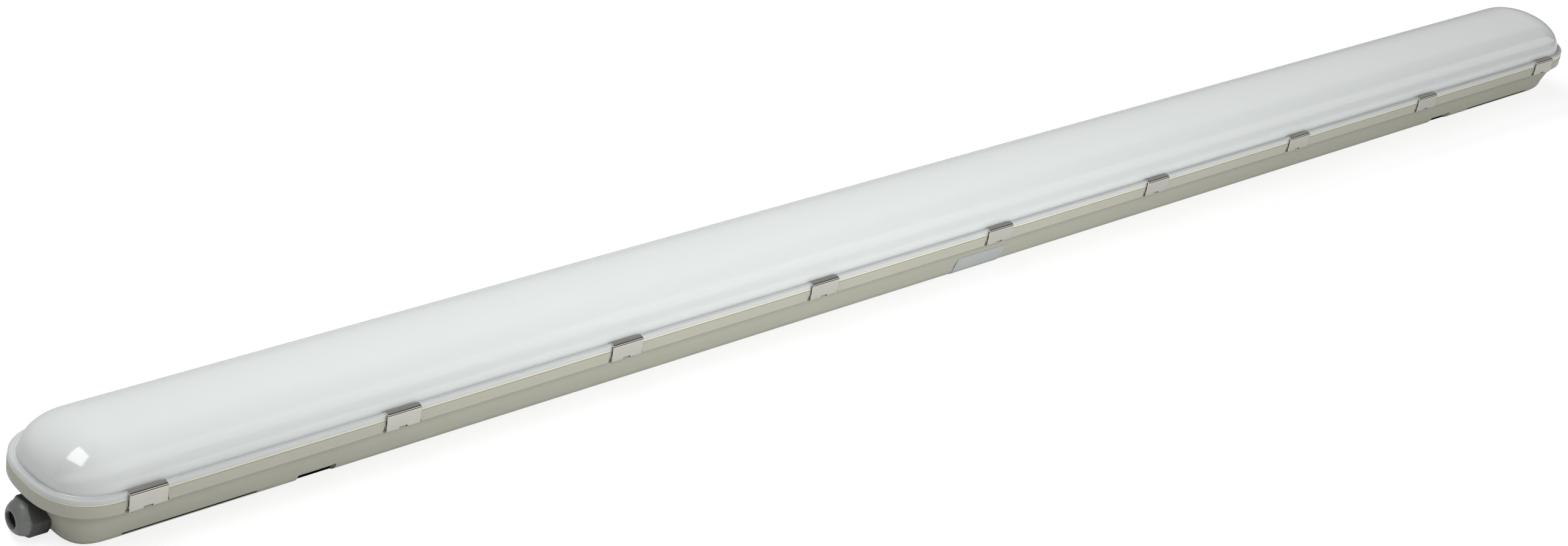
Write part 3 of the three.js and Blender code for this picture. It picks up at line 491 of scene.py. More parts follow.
def block_points(low, high):
    """A closed block as a grid of four corners carried from its low end in X to its high end."""
    (x0, y0, z0), (x1, y1, z1) = low, high
    corners = np.array([[y0, z0], [y1, z0], [y1, z1], [y0, z1]])
    middle = corners.mean(axis=0)
    rows = []
    for x, shrink in ((x0, 0.0), (x0, 1.0), (x1, 1.0), (x1, 0.0)):
        yz = middle + (corners - middle) * shrink
        rows.append(np.column_stack([np.full(4, x), yz]))
    return np.stack(rows)


def make_pivots():
    """The bars that the clips swing on, and the lug in each clip's notch that holds the bar."""
    grids = []
    for place in CLIP_PLACES:
        for side in (-1, 1):
            y = side * PIVOT_Y
            start = (place - RECESS_HALF - BAR_OVERLAP, y, PIVOT_Z)
            end = (place + RECESS_HALF + BAR_OVERLAP, y, PIVOT_Z)
            grids.append(tube_points(BAR_RADIUS, start, end))
            low = (place - NOTCH_HALF + 0.3, y - LUG_HALF, PIVOT_Z)
            high = (place + LUG_END, y + LUG_HALF, CHANNEL_TOP + LUG_OVERLAP)
            grids.append(block_points(low, high))
    # The bars carry painted shade and the lugs none
    shades = np.tile([BAR_SHADE, 0.0], len(grids) // 2)
    piece = join_grids("clip_pivot_bars", grids, shades)
    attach(piece, HOUSING_BODY)
    return piece


def turned_points(profile, sides=72):
    """A closed profile of radius and place along X, turned about the gland's axis."""
    profile = np.asarray(profile, float)
    angle = np.linspace(0, 2 * math.pi, sides, endpoint=False)
    radius, place = profile[:, 0][:, None], profile[:, 1][:, None]
    y = radius * np.cos(angle)[None, :]
    z = GLAND_HEIGHT + radius * np.sin(angle)[None, :]
    return np.stack([np.broadcast_to(place, y.shape), y, z], axis=-1)


def make_boss():
    """The round boss under the gland, which stands out of the round back edge."""
    back = [[BOSS_BORE, BOSS_BACK], [BOSS_RADIUS, BOSS_BACK]]
    face = [[BOSS_RADIUS, BOSS_FACE], [BOSS_BORE, BOSS_FACE]]
    points = turned_points(rounded(back + face, [0, 0, 0.4, 0], 3))
    x, y, z = points[..., 0], points[..., 1], points[..., 2]
    piece = grid_piece("gland_boss", x, y, z, wrap_rows=True)
    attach(piece, HOUSING_BODY)
    return piece


def hex_radius(angle):
    """Radius of a hexagon of the gland's size at an angle, with its corners a little rounded."""
    offsets = np.arange(6) * math.pi / 3 + math.pi / 6 + HEX_TURN
    reach = np.cos(angle[..., None] - offsets)
    sharpness = 60.0
    soft = (np.maximum(reach, 0.0) ** sharpness).sum(axis=-1) ** (1 / sharpness)
    return HEX_APOTHEM / soft


def hexed_points(profile, hexed, sides=240):
    """A profile turned about the gland's axis, where rows marked as hexed stay in the hexagon.

    The radius is the smooth smaller of the two: (hexagon ** -p + turned ** -p) ** (-1 / p).
    """
    profile = np.asarray(profile, float)
    angle = np.linspace(0, 2 * math.pi, sides, endpoint=False)
    turned = np.broadcast_to(profile[:, 0][:, None], (len(profile), sides))
    hexagon = hex_radius(angle)[None, :]
    p = 90.0
    both = (hexagon**-p + turned**-p) ** (-1 / p)
    radius = np.where(np.asarray(hexed, bool)[:, None], both, turned)
    y = radius * np.cos(angle)[None, :]
    z = GLAND_HEIGHT + radius * np.sin(angle)[None, :]
    x = np.broadcast_to(profile[:, 1][:, None], y.shape)
    return x, y, z


def make_gland_nut():
    """The cap nut: a hexagon cut by a cone at the front, with a round nose and a lipped cable hole.

    Rows are a radius and a place along X.
    """
    angle = np.linspace(0.0, math.pi / 2, 14)
    nose_radius = NOSE_RADIUS + NOSE_SPREAD * np.cos(angle) ** NOSE_POWER
    nose_place = NOSE_FOOT - NOSE_LENGTH * np.sin(angle) ** NOSE_POWER
    back = [[9.2, -742.5], [12.9, -742.5], [13.1, -742.6], [13.2, -742.8]]
    flank = [[13.2, -747.6], [12.75, -748.1], [12.1, -748.65], [11.5, -749.1]]
    outer = np.concatenate([back, flank, np.stack([nose_radius, nose_place], axis=-1)])
    lip = [[5.65, -755.65], [5.45, -755.5], [5.3, -755.2], [5.22, -754.6], [5.2, -753.6]]
    inner = [[8.5, -750.7], [8.5, -747.7], [9.2, -747.7]]
    profile = np.concatenate([outer, lip, inner])
    hexed = np.arange(len(profile)) < len(outer)
    x, y, z = hexed_points(profile, hexed)
    # Painted shade on the hexagon and flank, none on the nose
    shade = np.interp(profile[:, 1], SHADE_PLACES, [0.0, FLAT_SHADE])[:, None]
    piece = grid_piece("gland_cap_nut", x, y, z, wrap_rows=True, sharp_degrees=50.0, shade=shade)
    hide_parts("gland_nut")
    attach(piece, "gland_nut_group")
    return piece


def make_gland_body():
    """The gland's body: entry thread, hexagon collar, nut thread and cage, round the cable bore.

    Rows are a radius and a place along X. Threads are plain cylinders.
    """
    outer = [[9.3, -724.2], [9.3, -736.3], [12.0, -736.3], [12.7, -736.65], [13.2, -737.1]]
    outer += [[13.2, -742.0], [13.1, -742.2], [12.9, -742.3], [8.9, -742.3], [8.9, -747.4]]
    inner = [[8.2, -747.4], [8.2, -750.4], [6.6, -750.4], [6.6, -744.2], [5.6, -744.2]]
    inner += [[5.6, -724.2]]
    profile = np.array(outer + inner)
    hexed = np.arange(len(profile)) < len(outer)
    x, y, z = hexed_points(profile, hexed)
    # Painted shade over the whole collar
    shade = FLAT_SHADE
    piece = grid_piece("gland_collar", x, y, z, wrap_rows=True, sharp_degrees=50.0, shade=shade)
    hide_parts("gland_body")
    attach(piece, HOUSING_BODY)
    return piece


def make_gasket():
    """The foamed seal: a root in the groove and a soft lip that fills the joint above the rim."""
    outline = [[1.9, 35.2], [4.3, 35.2], [4.3, 37.16], [4.95, 37.16], [4.95, 38.14], [0.42, 38.14]]
    outline += [[0.42, 37.16], [1.9, 37.16]]
    profile = rounded(outline[::-1], [0, 0.2, 0.3, 0, 0, 0, 0, 0])
    inset, height = profile[:, 0], profile[:, 1]
    exponent = np.full(len(inset), RIM_EXPONENT)
    x, y = Ring().points(RIM_HALF - inset, RIM_REACH - inset, exponent)
    piece = grid_piece("gasket_seal", x, y, height[:, None], wrap_rows=True)
    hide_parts("gasket")
    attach(piece, HOUSING_BODY)
    return piece


def dome_rows(inset, rise, steps):
    """Rows of inset, height and plan exponent of a dome, which is a superellipse in its section.

    Width and height are powers of a cosine and a sine. The plan is squarer at the foot than at the
    top: its exponent falls with the square of the share left to climb.
    """
    angle = math.pi / 2 * np.linspace(0.0, 1.0, steps) ** 1.5
    half = (RIM_HALF - inset) * np.cos(angle) ** (2 / DOME_POWER)
    climbed = np.sin(angle) ** (2 / DOME_POWER)
    foot, top = DOME_EXPONENTS
    exponent = top + (foot - top) * (1.0 - climbed) ** 2
    return np.stack([RIM_HALF - half, DOME_BASE + rise * climbed, exponent], axis=-1)


def make_diffuser():
    """The opal cover: a lipped flange, a shallow valley, a dome with round ends, and its inside."""
    lip = [[0.35, FLANGE_BOTTOM], [0.35, 40.75], [0.85, 41.25], [2.1, 41.52], [2.9, 41.35]]
    lip += [[3.35, 41.02], [4.08, DOME_BASE + 0.06], [4.16, DOME_BASE + 1.0]]
    lip = rounded(lip, [0, 0.35, 0.5, 0.9, 0.7, 0.3, 0.4, 0], 5)
    last = len(lip) - 1
    ramp = np.interp(np.arange(len(lip)), [last - 8, last], [RIM_EXPONENT, DOME_EXPONENTS[0]])
    outer = np.column_stack([lip, ramp])
    dome = dome_rows(DOME_INSET + 0.05, DOME_RISE, 44)[3:]
    inner_inset = DOME_INSET + DOME_WALL
    inner = dome_rows(inner_inset, DOME_RISE - DOME_WALL, 20)[::-1]
    hem = np.array([[inner_inset, FLANGE_BOTTOM + 0.2, 2.4], [inner_inset - 0.2, FLANGE_BOTTOM, 2.4]])
    rows = np.concatenate([inner, hem, outer, dome])
    half, height = RIM_HALF - rows[:, 0], rows[:, 1]
    share = np.clip(rows[:, 0] / DOME_INSET, 0.0, 1.0) * np.minimum(half / RIM_HALF, 1.0)
    x, y = Ring().points(half, RIM_REACH - rows[:, 0] - DOME_END_INSET * share, rows[:, 2])
    # Painted shade at the dome's foot and on the flange up to its crest
    shade = np.interp(height - DOME_BASE, DOME_SHADE_HEIGHTS, DOME_SHADES)
    first = len(inner) + len(hem)
    crest = first + np.argmax(lip[:, 1])
    shade[:first] = 0.0
    shade[first:crest] = np.linspace(*FLANGE_SHADES, crest - first)
    height, shade = height[:, None], shade[:, None]
    piece = grid_piece("diffuser_cover", x, y, height, sharp_degrees=50.0, shade=shade)
    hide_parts("diffuser")
    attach(piece, DIFFUSER_BODY)
    return piece


def clip_line():
    """Points and outward directions along the middle of a clip's sheet, from its curl to its tip.

    The curl is an arc about the pivot, the plate is straight, and the hook leaves a tight bend with
    a small rise. The third array is True at the points that the notch splits.
    """
    hook_angle = math.radians(90.0 - HOOK_RISE)
    wrap = np.linspace(math.radians(-CURL_WRAP), 0.0, 18)
    curl = np.stack([np.cos(wrap), np.sin(wrap)], axis=-1)
    bend_angle = np.linspace(0.0, hook_angle, 8)
    bend = np.stack([np.cos(bend_angle), np.sin(bend_angle)], axis=-1)
    bend_centre = np.array([CURL_MIDDLE + SHEET / 2 - BEND_RADIUS, PLATE_HEIGHT])
    bend_points = bend_centre + (BEND_RADIUS - SHEET / 2) * bend
    plate_heights = np.concatenate([[NOTCH_TOP], np.linspace(1.6, PLATE_HEIGHT - 0.6, 8)])
    plate = np.stack([np.full(len(plate_heights), CURL_MIDDLE), plate_heights], axis=-1)
    direction = np.array([-math.sin(hook_angle), math.cos(hook_angle)])
    length = (HOOK_REACH - BEND_RADIUS) / math.sin(hook_angle)
    hook = bend_points[-1] + direction * np.linspace(0.0, length, 5)[1:, None]
    points = np.concatenate([CURL_MIDDLE * curl, plate, bend_points, hook])
    flat, tip = np.tile([1.0, 0.0], (len(plate), 1)), np.tile(bend[-1], (len(hook), 1))
    outwards = np.concatenate([curl, flat, bend, tip])
    notched = np.arange(len(points)) < len(curl)
    return points, outwards, notched


def cell_faces(present, rows, columns):
    """Faces of a bent sheet: two quads for each cell, and a side quad where it has no neighbour."""
    layer = rows * columns
    r, c = np.nonzero(present)
    a, b = r * columns + c, r * columns + c + 1
    d, e = a + columns, b + columns
    upper = np.stack([a, b, e, d], axis=-1)
    lower = np.stack([a, d, e, b], axis=-1) + layer
    padded = np.pad(present, 1)
    sides = []
    for dr, dc, first, second in ((-1, 0, a, b), (1, 0, e, d), (0, -1, d, a), (0, 1, b, e)):
        open_side = ~padded[r + 1 + dr, c + 1 + dc]
        start, end = first[open_side], second[open_side]
        sides.append(np.stack([start, start + layer, end + layer, end], axis=-1))
    return np.concatenate([upper, lower, *sides])


def make_clip(number, side, place):
    """A spring clip bent from sheet: a curl on its bar, a notched plate and a hook over the flange.

    Each plate bulges and tilts by a few hundredths of a millimetre of its own.
    """
    line, outwards, notched = clip_line()
    left = np.linspace(-CLIP_WIDTH / 2, -NOTCH_HALF, 5)
    across = np.concatenate([left, np.linspace(NOTCH_HALF, CLIP_WIDTH / 2, 5)])
    rows, columns = len(line), len(across)
    random = np.random.default_rng(number * 2 + (side > 0))
    climbed = np.clip(line[:, 1] / PLATE_HEIGHT, 0, 1)
    bulge = random.uniform(*BULGE) * np.sin(climbed * math.pi)
    cross = 1.0 - (across / (CLIP_WIDTH / 2)) ** 2
    tilt = random.uniform(-TILT, TILT) * across / CLIP_WIDTH
    swell = bulge[:, None] * cross[None, :] + climbed[:, None] * tilt[None, :]
    layers = []
    for face in (1, -1):
        out = line[:, 0][:, None] + outwards[:, 0][:, None] * face * SHEET / 2 - swell
        up = line[:, 1][:, None] + outwards[:, 1][:, None] * face * SHEET / 2
        along = np.broadcast_to(across[None, :], (rows, columns))
        up = np.broadcast_to(up, (rows, columns))
        x, y, z = place - side * along, side * (PIVOT_Y + out), PIVOT_Z + up
        layers.append(np.stack([x, y, z], axis=-1))
    present = np.ones((rows - 1, columns - 1), bool)
    present[notched[:-1], len(left) - 1] = False
    points = np.stack(layers).reshape(-1, 3)
    name = f"clip_{'front' if side < 0 else 'back'}_{number + 1}"
    faces = cell_faces(present, rows, columns)
    piece = finish_mesh(f"spring_{name}", points, faces, sharp_degrees=35.0)
    cut = np.arange(len(faces)) >= 2 * np.count_nonzero(present)
    piece.data.polygons.foreach_set("material_index", cut.astype(np.int32))
    turn_faces_out(piece)
    bevel = piece.modifiers.new("rolled edge", "BEVEL")
    bevel.width = 0.09 * MM
    bevel.segments = 2
    bevel.limit_method = "ANGLE"
    bevel.angle_limit = math.radians(50.0)
    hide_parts(name)
    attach(piece, f"{name}_group")
    return piece


def turn_faces_out(piece):
    """Recalculates the normals of a closed mesh so that they point outwards."""
    work = bmesh.new()
    work.from_mesh(piece.data)
    bmesh.ops.recalc_face_normals(work, faces=work.faces)
    work.to_mesh(piece.data)
    work.free()


# Shader node groups


GROUP_OUTPUTS = {
    "Colour": "NodeSocketColor",
    "Roughness": "NodeSocketFloat",
    "Normal": "NodeSocketVector",
}


def new_group(name, inputs):
    """A node group with inputs of name, type and default, and the outputs that a finish has."""
    group = bpy.data.node_groups.new(name, "ShaderNodeTree")
    for socket_name, kind, default in inputs:
        socket = group.interface.new_socket(socket_name, in_out="INPUT", socket_type=kind)
        socket.default_value = default
    for socket_name, kind in GROUP_OUTPUTS.items():
        group.interface.new_socket(socket_name, in_out="OUTPUT", socket_type=kind)
    return group, group.nodes.new("NodeGroupInput"), group.nodes.new("NodeGroupOutput")


def feed(tree, socket, value):
    """Links a socket to another node's output, or gives it a value."""
    if isinstance(value, bpy.types.NodeSocket):
        tree.links.new(value, socket)
    else:
        socket.default_value = value


def add_node(tree, kind, settings=None, **inputs):
    """A node with its settings, whose inputs are either linked or given a value."""
    node = tree.nodes.new(kind)
    for key, value in (settings or {}).items():
        setattr(node, key, value)
    for key, value in inputs.items():
        numbered = key[0] == "i" and key[1:].isdigit()
        feed(tree, node.inputs[int(key[1:]) if numbered else key], value)
    return node


def math_node(tree, operation, first, second=0.0, clamp=False):
    settings = {"operation": operation, "use_clamp": clamp}
    return add_node(tree, "ShaderNodeMath", settings, i0=first, i1=second).outputs[0]


def noise_node(tree, vector, scale, detail=3.0, roughness=0.5):
    inputs = {"Vector": vector, "Scale": scale, "Detail": detail, "Roughness": roughness}
    return add_node(tree, "ShaderNodeTexNoise", None, **inputs).outputs["Fac"]


def mix_colour(tree, factor, first, second):
    """The first colour at a factor of 0 and the second at 1."""
    node = tree.nodes.new("ShaderNodeMix")
    node.data_type = "RGBA"
    for key, value in (("Factor", factor), ("A", first), ("B", second)):
        feed(tree, next(s for s in node.inputs if s.name == key and s.enabled), value)
    return next(s for s in node.outputs if s.enabled)


def scaled_colour(tree, colour, level):
    node = add_node(tree, "ShaderNodeVectorMath", {"operation": "SCALE"}, i0=colour, Scale=level)
    return node.outputs[0]


def end_group(group, leave, colour, rough, height, strength, distance):
    """Links a group's colour, its roughness and a normal bumped by a height to its outputs."""
    bump = {"Height": height, "Strength": strength, "Distance": distance}
    normal = add_node(group, "ShaderNodeBump", None, **bump).outputs["Normal"]
    for key, value in zip(GROUP_OUTPUTS, (colour, rough, normal)):
        group.links.new(value, leave.inputs[key])
    return group


def build_moulded_grain():
    """Moulded plastic: a faint cloudy tint, a fine grain in tint and gloss, and a pebbled bump."""
    inputs = [
        ("Vector", "NodeSocketVector", (0, 0, 0)),
        ("Colour", "NodeSocketColor", (0.5, 0.5, 0.5, 1)),
        ("Cloud", "NodeSocketFloat", 0.05),
        ("Grain Scale", "NodeSocketFloat", 2500.0),
        ("Bump", "NodeSocketFloat", 0.1),
        ("Roughness", "NodeSocketFloat", 0.5),
    ]
    group, enter, leave = new_group("moulded grain", inputs)
    vector = enter.outputs["Vector"]
    cloud = noise_node(group, vector, 14.0, 4.0, 0.6)
    grain = noise_node(group, vector, enter.outputs["Grain Scale"], 2.0, 0.6)
    cloud_part = math_node(group, "MULTIPLY", cloud, 0.65)
    grain_part = math_node(group, "MULTIPLY", grain, 0.35)
    both = math_node(group, "ADD", cloud_part, grain_part)
    centred = math_node(group, "SUBTRACT", both, 0.5)
    swing = math_node(group, "MULTIPLY", centred, enter.outputs["Cloud"])
    level = math_node(group, "ADD", swing, 1.0)
    tinted = scaled_colour(group, enter.outputs["Colour"], level)
    uneven = math_node(group, "MULTIPLY", centred, 0.16)
    rough = math_node(group, "ADD", enter.outputs["Roughness"], uneven)
    return end_group(group, leave, tinted, rough, grain, enter.outputs["Bump"], 0.08 * MM)


def build_rolled_sheet():
    """Rolled steel: fine lines along one axis in tint, gloss and bump, and faint smudges."""
    inputs = [
        ("Vector", "NodeSocketVector", (0, 0, 0)),
        ("Colour", "NodeSocketColor", (0.6, 0.6, 0.6, 1)),
        ("Line Stretch", "NodeSocketVector", (60.0, 3000.0, 3000.0)),
        ("Roughness", "NodeSocketFloat", 0.25),
        ("Bump", "NodeSocketFloat", 0.06),
    ]
    group, enter, leave = new_group("rolled sheet", inputs)
    factors = {"i0": enter.outputs["Vector"], "i1": enter.outputs["Line Stretch"]}
    stretched = add_node(group, "ShaderNodeVectorMath", {"operation": "MULTIPLY"}, **factors)
    lines = noise_node(group, stretched.outputs[0], 1.0, 3.0, 0.6)
    smudge = noise_node(group, enter.outputs["Vector"], 90.0, 3.0, 0.5)
    centred = math_node(group, "SUBTRACT", lines, 0.5)
    level = math_node(group, "ADD", 1.0, math_node(group, "MULTIPLY", centred, 0.22))
    tinted = scaled_colour(group, enter.outputs["Colour"], level)
    smudged = math_node(group, "MULTIPLY", math_node(group, "SUBTRACT", smudge, 0.5), 0.22)
    lined = math_node(group, "MULTIPLY", centred, 0.12)
    uneven = math_node(group, "ADD", smudged, lined)
    rough = math_node(group, "ADD", enter.outputs["Roughness"], uneven, True)
    return end_group(group, leave, tinted, rough, lines, enter.outputs["Bump"], 0.05 * MM)


MOULDED = build_moulded_grain()
ROLLED = build_rolled_sheet()


def object_vector(tree):
    return tree.nodes.new("ShaderNodeTexCoord").outputs["Object"]


def object_place(tree):
    """The outputs X, Y and Z of the place on an object, in metres."""
    return add_node(tree, "ShaderNodeSeparateXYZ", None, Vector=object_vector(tree)).outputs


def new_material(name):
    material = bpy.data.materials.new(name)
    material.use_nodes = True
    tree = material.node_tree
    shader = tree.nodes["Principled BSDF"]
    return material, tree, shader


def place_group(tree, shader, group, **inputs):
    """Puts a node group in a material and feeds its colour, roughness and normal to the shader."""
    node = tree.nodes.new("ShaderNodeGroup")
    node.node_tree = group
    tree.links.new(object_vector(tree), node.inputs["Vector"])
    for key, value in inputs.items():
        feed(tree, node.inputs[key.replace("_", " ")], value)
    for output, name in zip(GROUP_OUTPUTS, ("Base Color", "Roughness", "Normal")):
        tree.links.new(node.outputs[output], shader.inputs[name])


def shaded_colour(tree, colour):
    """A colour with painted shade: darkened by the share that the mesh carries at each point, and
    lightened as a painted highlight where that share is negative.
    """
    shade = add_node(tree, "ShaderNodeAttribute", {"attribute_name": "shade"}).outputs["Fac"]
    return scaled_colour(tree, colour[:3], math_node(tree, "SUBTRACT", 1.0, shade))


def grained(tree, shader, colour, roughness, cloud, grain, bump):
    """Feeds the moulded grain to a material's shader."""
    values = {"Roughness": roughness, "Cloud": cloud, "Grain_Scale": grain, "Bump": bump}
    place_group(tree, shader, MOULDED, Colour=colour, **values)


def moulded_material(name, colour, roughness, cloud, grain, bump, level=0.5, shaded=False):
    """Moulded plastic, with painted shade from the mesh's shade attribute where that is asked for."""
    material, tree, shader = new_material(name)
    if shaded:
        colour = shaded_colour(tree, colour)
    grained(tree, shader, colour, roughness, cloud, grain, bump)
    shader.inputs["Specular IOR Level"].default_value = level
    return material


def steel_material(name, colour, roughness, stretch, bump=0.06, metallic=1.0):
    """Rolled steel, whose lines run along the axis of the least stretch."""
    material, tree, shader = new_material(name)
    values = {"Roughness": roughness, "Line_Stretch": stretch, "Bump": bump}
    place_group(tree, shader, ROLLED, Colour=colour, **values)
    shader.inputs["Metallic"].default_value = metallic
    return material


def opal_material():
    """Opal cover: smooth and glossy, with a little light spread under the surface."""
    colour = linear(221, 225, 224)
    material = moulded_material("opal cover", colour, 0.09, 0.02, 900.0, 0.01, shaded=True)
    shader = material.node_tree.nodes["Principled BSDF"]
    shader.inputs["IOR"].default_value = 1.58
    shader.inputs["Subsurface Weight"].default_value = 0.25
    shader.inputs["Subsurface Radius"].default_value = (1.0, 1.0, 1.0)
    shader.inputs["Subsurface Scale"].default_value = 0.004
    return material


def foam_material():
    return moulded_material("foamed seal", linear(228, 222, 200), 0.9, 0.16, 1400.0, 0.5, 0.3)


def band_mask(tree, value, low, high, softness):
    """1 between low and high and 0 outside, with soft edges."""
    rise = math_node(tree, "MULTIPLY", math_node(tree, "SUBTRACT", value, low), 1 / softness, True)
    fall = math_node(tree, "MULTIPLY", math_node(tree, "SUBTRACT", high, value), 1 / softness, True)
    return math_node(tree, "MULTIPLY", rise, fall)


def board_material():
    """LED board: a white mask with grey strips along it, and yellow phosphor on each package."""
    material, tree, shader = new_material("led board")
    place = object_place(tree)
    top = band_mask(tree, place["Z"], *PACKAGE_TOP, 0.03 * MM)
    lens = band_mask(tree, place["Y"], -LENS_HALF, LENS_HALF, 0.2 * MM)
    phosphor = math_node(tree, "MULTIPLY", top, lens)
    strip = band_mask(tree, math_node(tree, "ABSOLUTE", place["Y"]), *PAD_STRIP, 0.1 * MM)
    masked = mix_colour(tree, strip, linear(244, 244, 240), linear(226, 228, 222))
    colour = mix_colour(tree, phosphor, masked, linear(232, 208, 96))
    grained(tree, shader, colour, 0.42, 0.04, 1800.0, 0.05)
    return material


def circuit_material():
    """Driver board: green mask on the board and darker parts below it."""
    material, tree, shader = new_material("driver circuit")
    below = math_node(tree, "LESS_THAN", object_place(tree)["Z"], CIRCUIT_BOTTOM)
    blocks = noise_node(tree, object_vector(tree), 22.0, 0.0)
    parts = mix_colour(tree, blocks, linear(38, 36, 34), linear(196, 168, 60))
    colour = mix_colour(tree, below, linear(47, 107, 60), parts)
    grained(tree, shader, colour, 0.45, 0.1, 2200.0, 0.1)
    return material


def from_ends(tree, value, low, high):
    """How far a value is from the nearer of its two ends."""
    from_low = math_node(tree, "SUBTRACT", value, low)
    return math_node(tree, "MINIMUM", from_low, math_node(tree, "SUBTRACT", high, value))


def label_material():
    """Plain film label with a thin grey border and nothing printed inside it."""
    material, tree, shader = new_material("plain label")
    place = object_place(tree)
    (low_x, _, low_z), (high_x, _, high_z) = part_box("label")
    along = from_ends(tree, place["X"], low_x, high_x)
    nearest = math_node(tree, "MINIMUM", along, from_ends(tree, place["Z"], low_z, high_z))
    line = band_mask(tree, nearest, *LABEL_LINE, 0.1 * MM)
    colour = mix_colour(tree, line, linear(176, 180, 178), linear(160, 164, 163))
    grained(tree, shader, colour, 0.35, 0.03, 1500.0, 0.03)
    shader.inputs["Coat Weight"].default_value = 0.2
    return material


def lead_material(name, colour):
    return moulded_material(name, colour, 0.42, 0.08, 1600.0, 0.05)


def dress(piece, *materials):
    """Gives a piece its materials, the first one for every face that names no other."""
    chosen = np.empty(len(piece.data.polygons), np.int32)
    piece.data.polygons.foreach_get("material_index", chosen)
    piece.data.materials.clear()
    for material in materials:
        piece.data.materials.append(material)
    piece.data.polygons.foreach_set("material_index", chosen)


def dress_node(name, material):
    """Gives a carried-over node a new material without touching its mesh."""
    node = nodes[name]
    if not node.material_slots:
        node.data.materials.append(material)
    for slot in node.material_slots:
        slot.material = material


# Make and dress the pieces

housing_finish = moulded_material(
    "grey moulding", linear(172, 172, 159), 0.48, 0.08, 2600.0, 0.16, shaded=True
)
gland_finish = moulded_material(
    "dark moulding", linear(114, 118, 114), 0.38, 0.12, 2200.0, 0.1, shaded=True
)
rubber_finish = moulded_material("black rubber", linear(32, 32, 32), 0.8, 0.2, 1800.0, 0.3)
tray_finish = moulded_material("white powder coat", linear(240, 240, 235), 0.4, 0.03, 700.0, 0.3)
driver_finish = moulded_material("white moulding", linear(232, 232, 226), 0.45, 0.05, 2400.0, 0.12)
terminal_finish = moulded_material("white nylon", linear(230, 229, 222), 0.5, 0.06, 2000.0, 0.08)
steel_finish = steel_material(
    "rolled spring steel", linear(196, 194, 186), 0.13, (45.0, 2600.0, 2600.0)
)
edge_finish = steel_material(
    "cut steel edge", linear(238, 238, 230), 0.5, (400.0, 900.0, 900.0), 0.1, metallic=0.55
)
screw_finish = steel_material("zinc plate", linear(188, 189, 184), 0.3, (1500.0, 1500.0, 200.0), 0.1)
led_finish = board_material()

for housing_part in (make_housing(), make_pivots(), make_boss()):
    dress(housing_part, housing_finish)
dress(make_gasket(), foam_material())
dress(make_diffuser(), opal_material())
for clip_number, clip_place in enumerate(CLIP_PLACES):
    for clip_side in (-1, 1):
        dress(make_clip(clip_number, clip_side, clip_place), steel_finish, edge_finish)
dress(make_gland_nut(), gland_finish)
dress(make_gland_body(), gland_finish)

node_finishes = {
    "label": label_material(),
    "gland_seal": rubber_finish,
    "gland_washer": rubber_finish,
    "gear_tray": tray_finish,
    "driver_case": driver_finish,
    "driver_lid": driver_finish,
    "driver_board": circuit_material(),
    "terminal_block": terminal_finish,
}
node_finishes.update({f"led_board_{number}": led_finish for number in (1, 2, 3)})
node_finishes.update({f"led_link_{number}": terminal_finish for number in (1, 2)})
node_finishes.update({name: screw_finish for name in nodes if "_screw" in name})
for lead_name, lead_colour in LEAD_COLOURS.items():
    node_finishes[lead_name] = lead_material(f"insulation {lead_name}", lead_colour)
for node_name, node_finish in node_finishes.items():
    dress_node(node_name, node_finish)


# Floor, light and camera


def make_floor():
    """A pale floor that is white to the camera, keeps a soft shadow and is dim in some reflections."""
    mesh = bpy.data.meshes.new("studio_floor")
    signs = ((-1, -1), (1, -1), (1, 1), (-1, 1))
    corners = [(x * FLOOR_REACH, y * FLOOR_REACH, FLOOR_HEIGHT) for x, y in signs]
    mesh.from_pydata(corners, [], [(0, 1, 2, 3)])
    floor = bpy.data.objects.new("studio_floor", mesh)
    bpy.context.scene.collection.objects.link(floor)
    material, tree, shader = new_material("studio floor")
    shader.inputs["Roughness"].default_value = 1.0
    shader.inputs["Specular IOR Level"].default_value = 0.0
    path = tree.nodes.new("ShaderNodeLightPath").outputs
    past = math_node(tree, "SUBTRACT", object_place(tree)["Y"], FADE_START)
    behind = math_node(tree, "MULTIPLY", past, FADE_RATE, True)
    dimmed = math_node(tree, "MULTIPLY", behind, path["Is Glossy Ray"])
    reflected = mix_colour(tree, dimmed, grey(FLOOR_BASE), grey(FLOOR_BEHIND))
    base = mix_colour(tree, path["Is Camera Ray"], reflected, grey(FLOOR_SEEN))
    tree.links.new(base, shader.inputs["Base Color"])
    emission = math_node(tree, "MULTIPLY", path["Is Camera Ray"], FLOOR_GLOW)
    tree.links.new(emission, shader.inputs["Emission Strength"])
    shader.inputs["Emission Color"].default_value = grey(1.0)
    mesh.materials.append(material)


def ramp_node(tree, factor, stops):
    """A smooth curve through stops of place and level, as the grey of a colour ramp."""
    node = tree.nodes.new("ShaderNodeValToRGB")
    ramp = node.color_ramp
    ramp.interpolation = "EASE"
    while len(ramp.elements) < len(stops):
        ramp.elements.new(0.5)
    for element, (place, level) in zip(ramp.elements, stops):
        element.position = place
        element.color = grey(level)
    tree.links.new(factor, node.inputs["Fac"])
    return node.outputs["Color"]


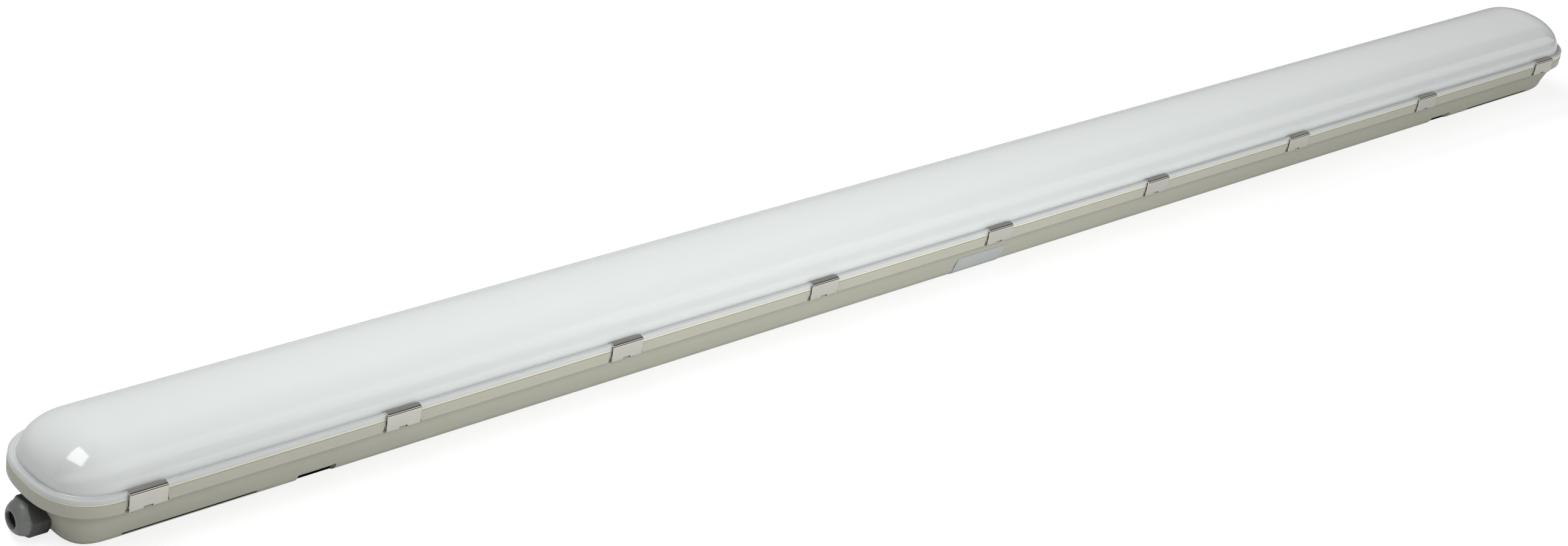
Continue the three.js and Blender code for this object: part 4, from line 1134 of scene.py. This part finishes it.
def make_world():
    """Surroundings that are even and pale, white to the camera, and a room to reflections."""
    world = bpy.data.worlds.new("studio")
    bpy.context.scene.world = world
    world.use_nodes = True
    tree = world.node_tree
    background = tree.nodes["Background"]
    path = tree.nodes.new("ShaderNodeLightPath").outputs
    direction = tree.nodes.new("ShaderNodeTexCoord").outputs["Generated"]
    split = add_node(tree, "ShaderNodeSeparateXYZ", None, Vector=direction)
    climb = math_node(tree, "ARCTAN2", split.outputs["Z"], split.outputs["Y"])
    share = math_node(tree, "DIVIDE", climb, math.pi, True)
    room = ramp_node(tree, share, ROOM_STOPS)
    glossy = path["Is Glossy Ray"]
    not_glossy = math_node(tree, "SUBTRACT", 1.0, glossy)
    plain_part = math_node(tree, "MULTIPLY", not_glossy, WORLD_LEVEL)
    camera_part = math_node(tree, "MULTIPLY", path["Is Camera Ray"], 1.0 - WORLD_LEVEL)
    glossy_part = math_node(tree, "MULTIPLY", glossy, room)
    seen_part = math_node(tree, "ADD", plain_part, camera_part)
    total = math_node(tree, "ADD", seen_part, glossy_part)
    background.inputs["Color"].default_value = grey(1.0)
    tree.links.new(total, background.inputs["Strength"])


def area_light(name, place, aim, width, height, power, turn=0.0, reflected=False):
    """A softbox that faces a point and is turned about its own axis, in degrees.

    The camera never sees it, and reflections only where that is asked for.
    """
    light = bpy.data.lights.new(name, "AREA")
    light.shape = "RECTANGLE"
    light.size = width
    light.size_y = height
    light.energy = power
    lamp = bpy.data.objects.new(name, light)
    bpy.context.scene.collection.objects.link(lamp)
    lamp.location = place
    facing = (Vector(aim) - Vector(place)).to_track_quat("-Z", "Y")
    lamp.rotation_mode = "QUATERNION"
    lamp.rotation_quaternion = facing @ Quaternion((0.0, 0.0, 1.0), math.radians(turn))
    lamp.visible_camera = False
    lamp.visible_glossy = reflected


def make_camera():
    """A camera at the photograph's place, with a lens of the photograph's picture angle."""
    data = bpy.data.cameras.new("photo_camera")
    data.sensor_fit = "HORIZONTAL"
    data.sensor_width = SENSOR_WIDTH
    data.lens = LENS
    data.clip_start = 0.05
    data.clip_end = 100.0
    camera = bpy.data.objects.new("photo_camera", data)
    bpy.context.scene.collection.objects.link(camera)
    camera.location = CAMERA_PLACE
    camera.rotation_euler = [math.radians(angle) for angle in CAMERA_TURN]
    bpy.context.scene.camera = camera


make_floor()
make_world()
# Softboxes: place, aim, width and height in metres, power in watts and turn in degrees
area_light(
    "near_softbox",
    (-0.93, 0.124, 1.46),
    (-0.103, -0.301, 1.093),
    0.897,
    0.703,
    11.9,
    turn=-47.9,
    reflected=True,
)
area_light("near_top_softbox", (-1.2, -0.25, 1.4), (-0.75, 0.0, 0.05), 0.6, 0.6, 4.0)
area_light("left_softbox", (-2.1, -0.3, 1.3), (-0.7, 0.0, 0.05), 0.9, 0.9, 1.4)
area_light("front_softbox", (-0.2, -0.9, 0.27), (-0.2, 0.0, 0.03), 0.5, 0.4, 4.1)
area_light("middle_softbox", (0.25, -0.9, 0.27), (0.25, 0.0, 0.03), 0.5, 0.4, 0.9)
area_light("far_softbox", (1.3, -1.1, 0.35), (1.0, 0.0, 0.03), 0.6, 0.5, 3.7)
area_light("back_softbox", (0.2, 1.2, 1.4), (0.2, 0.0, 0.05), 1.4, 0.8, 23.5)
make_camera()
bpy.context.scene.view_settings.view_transform = "Standard"
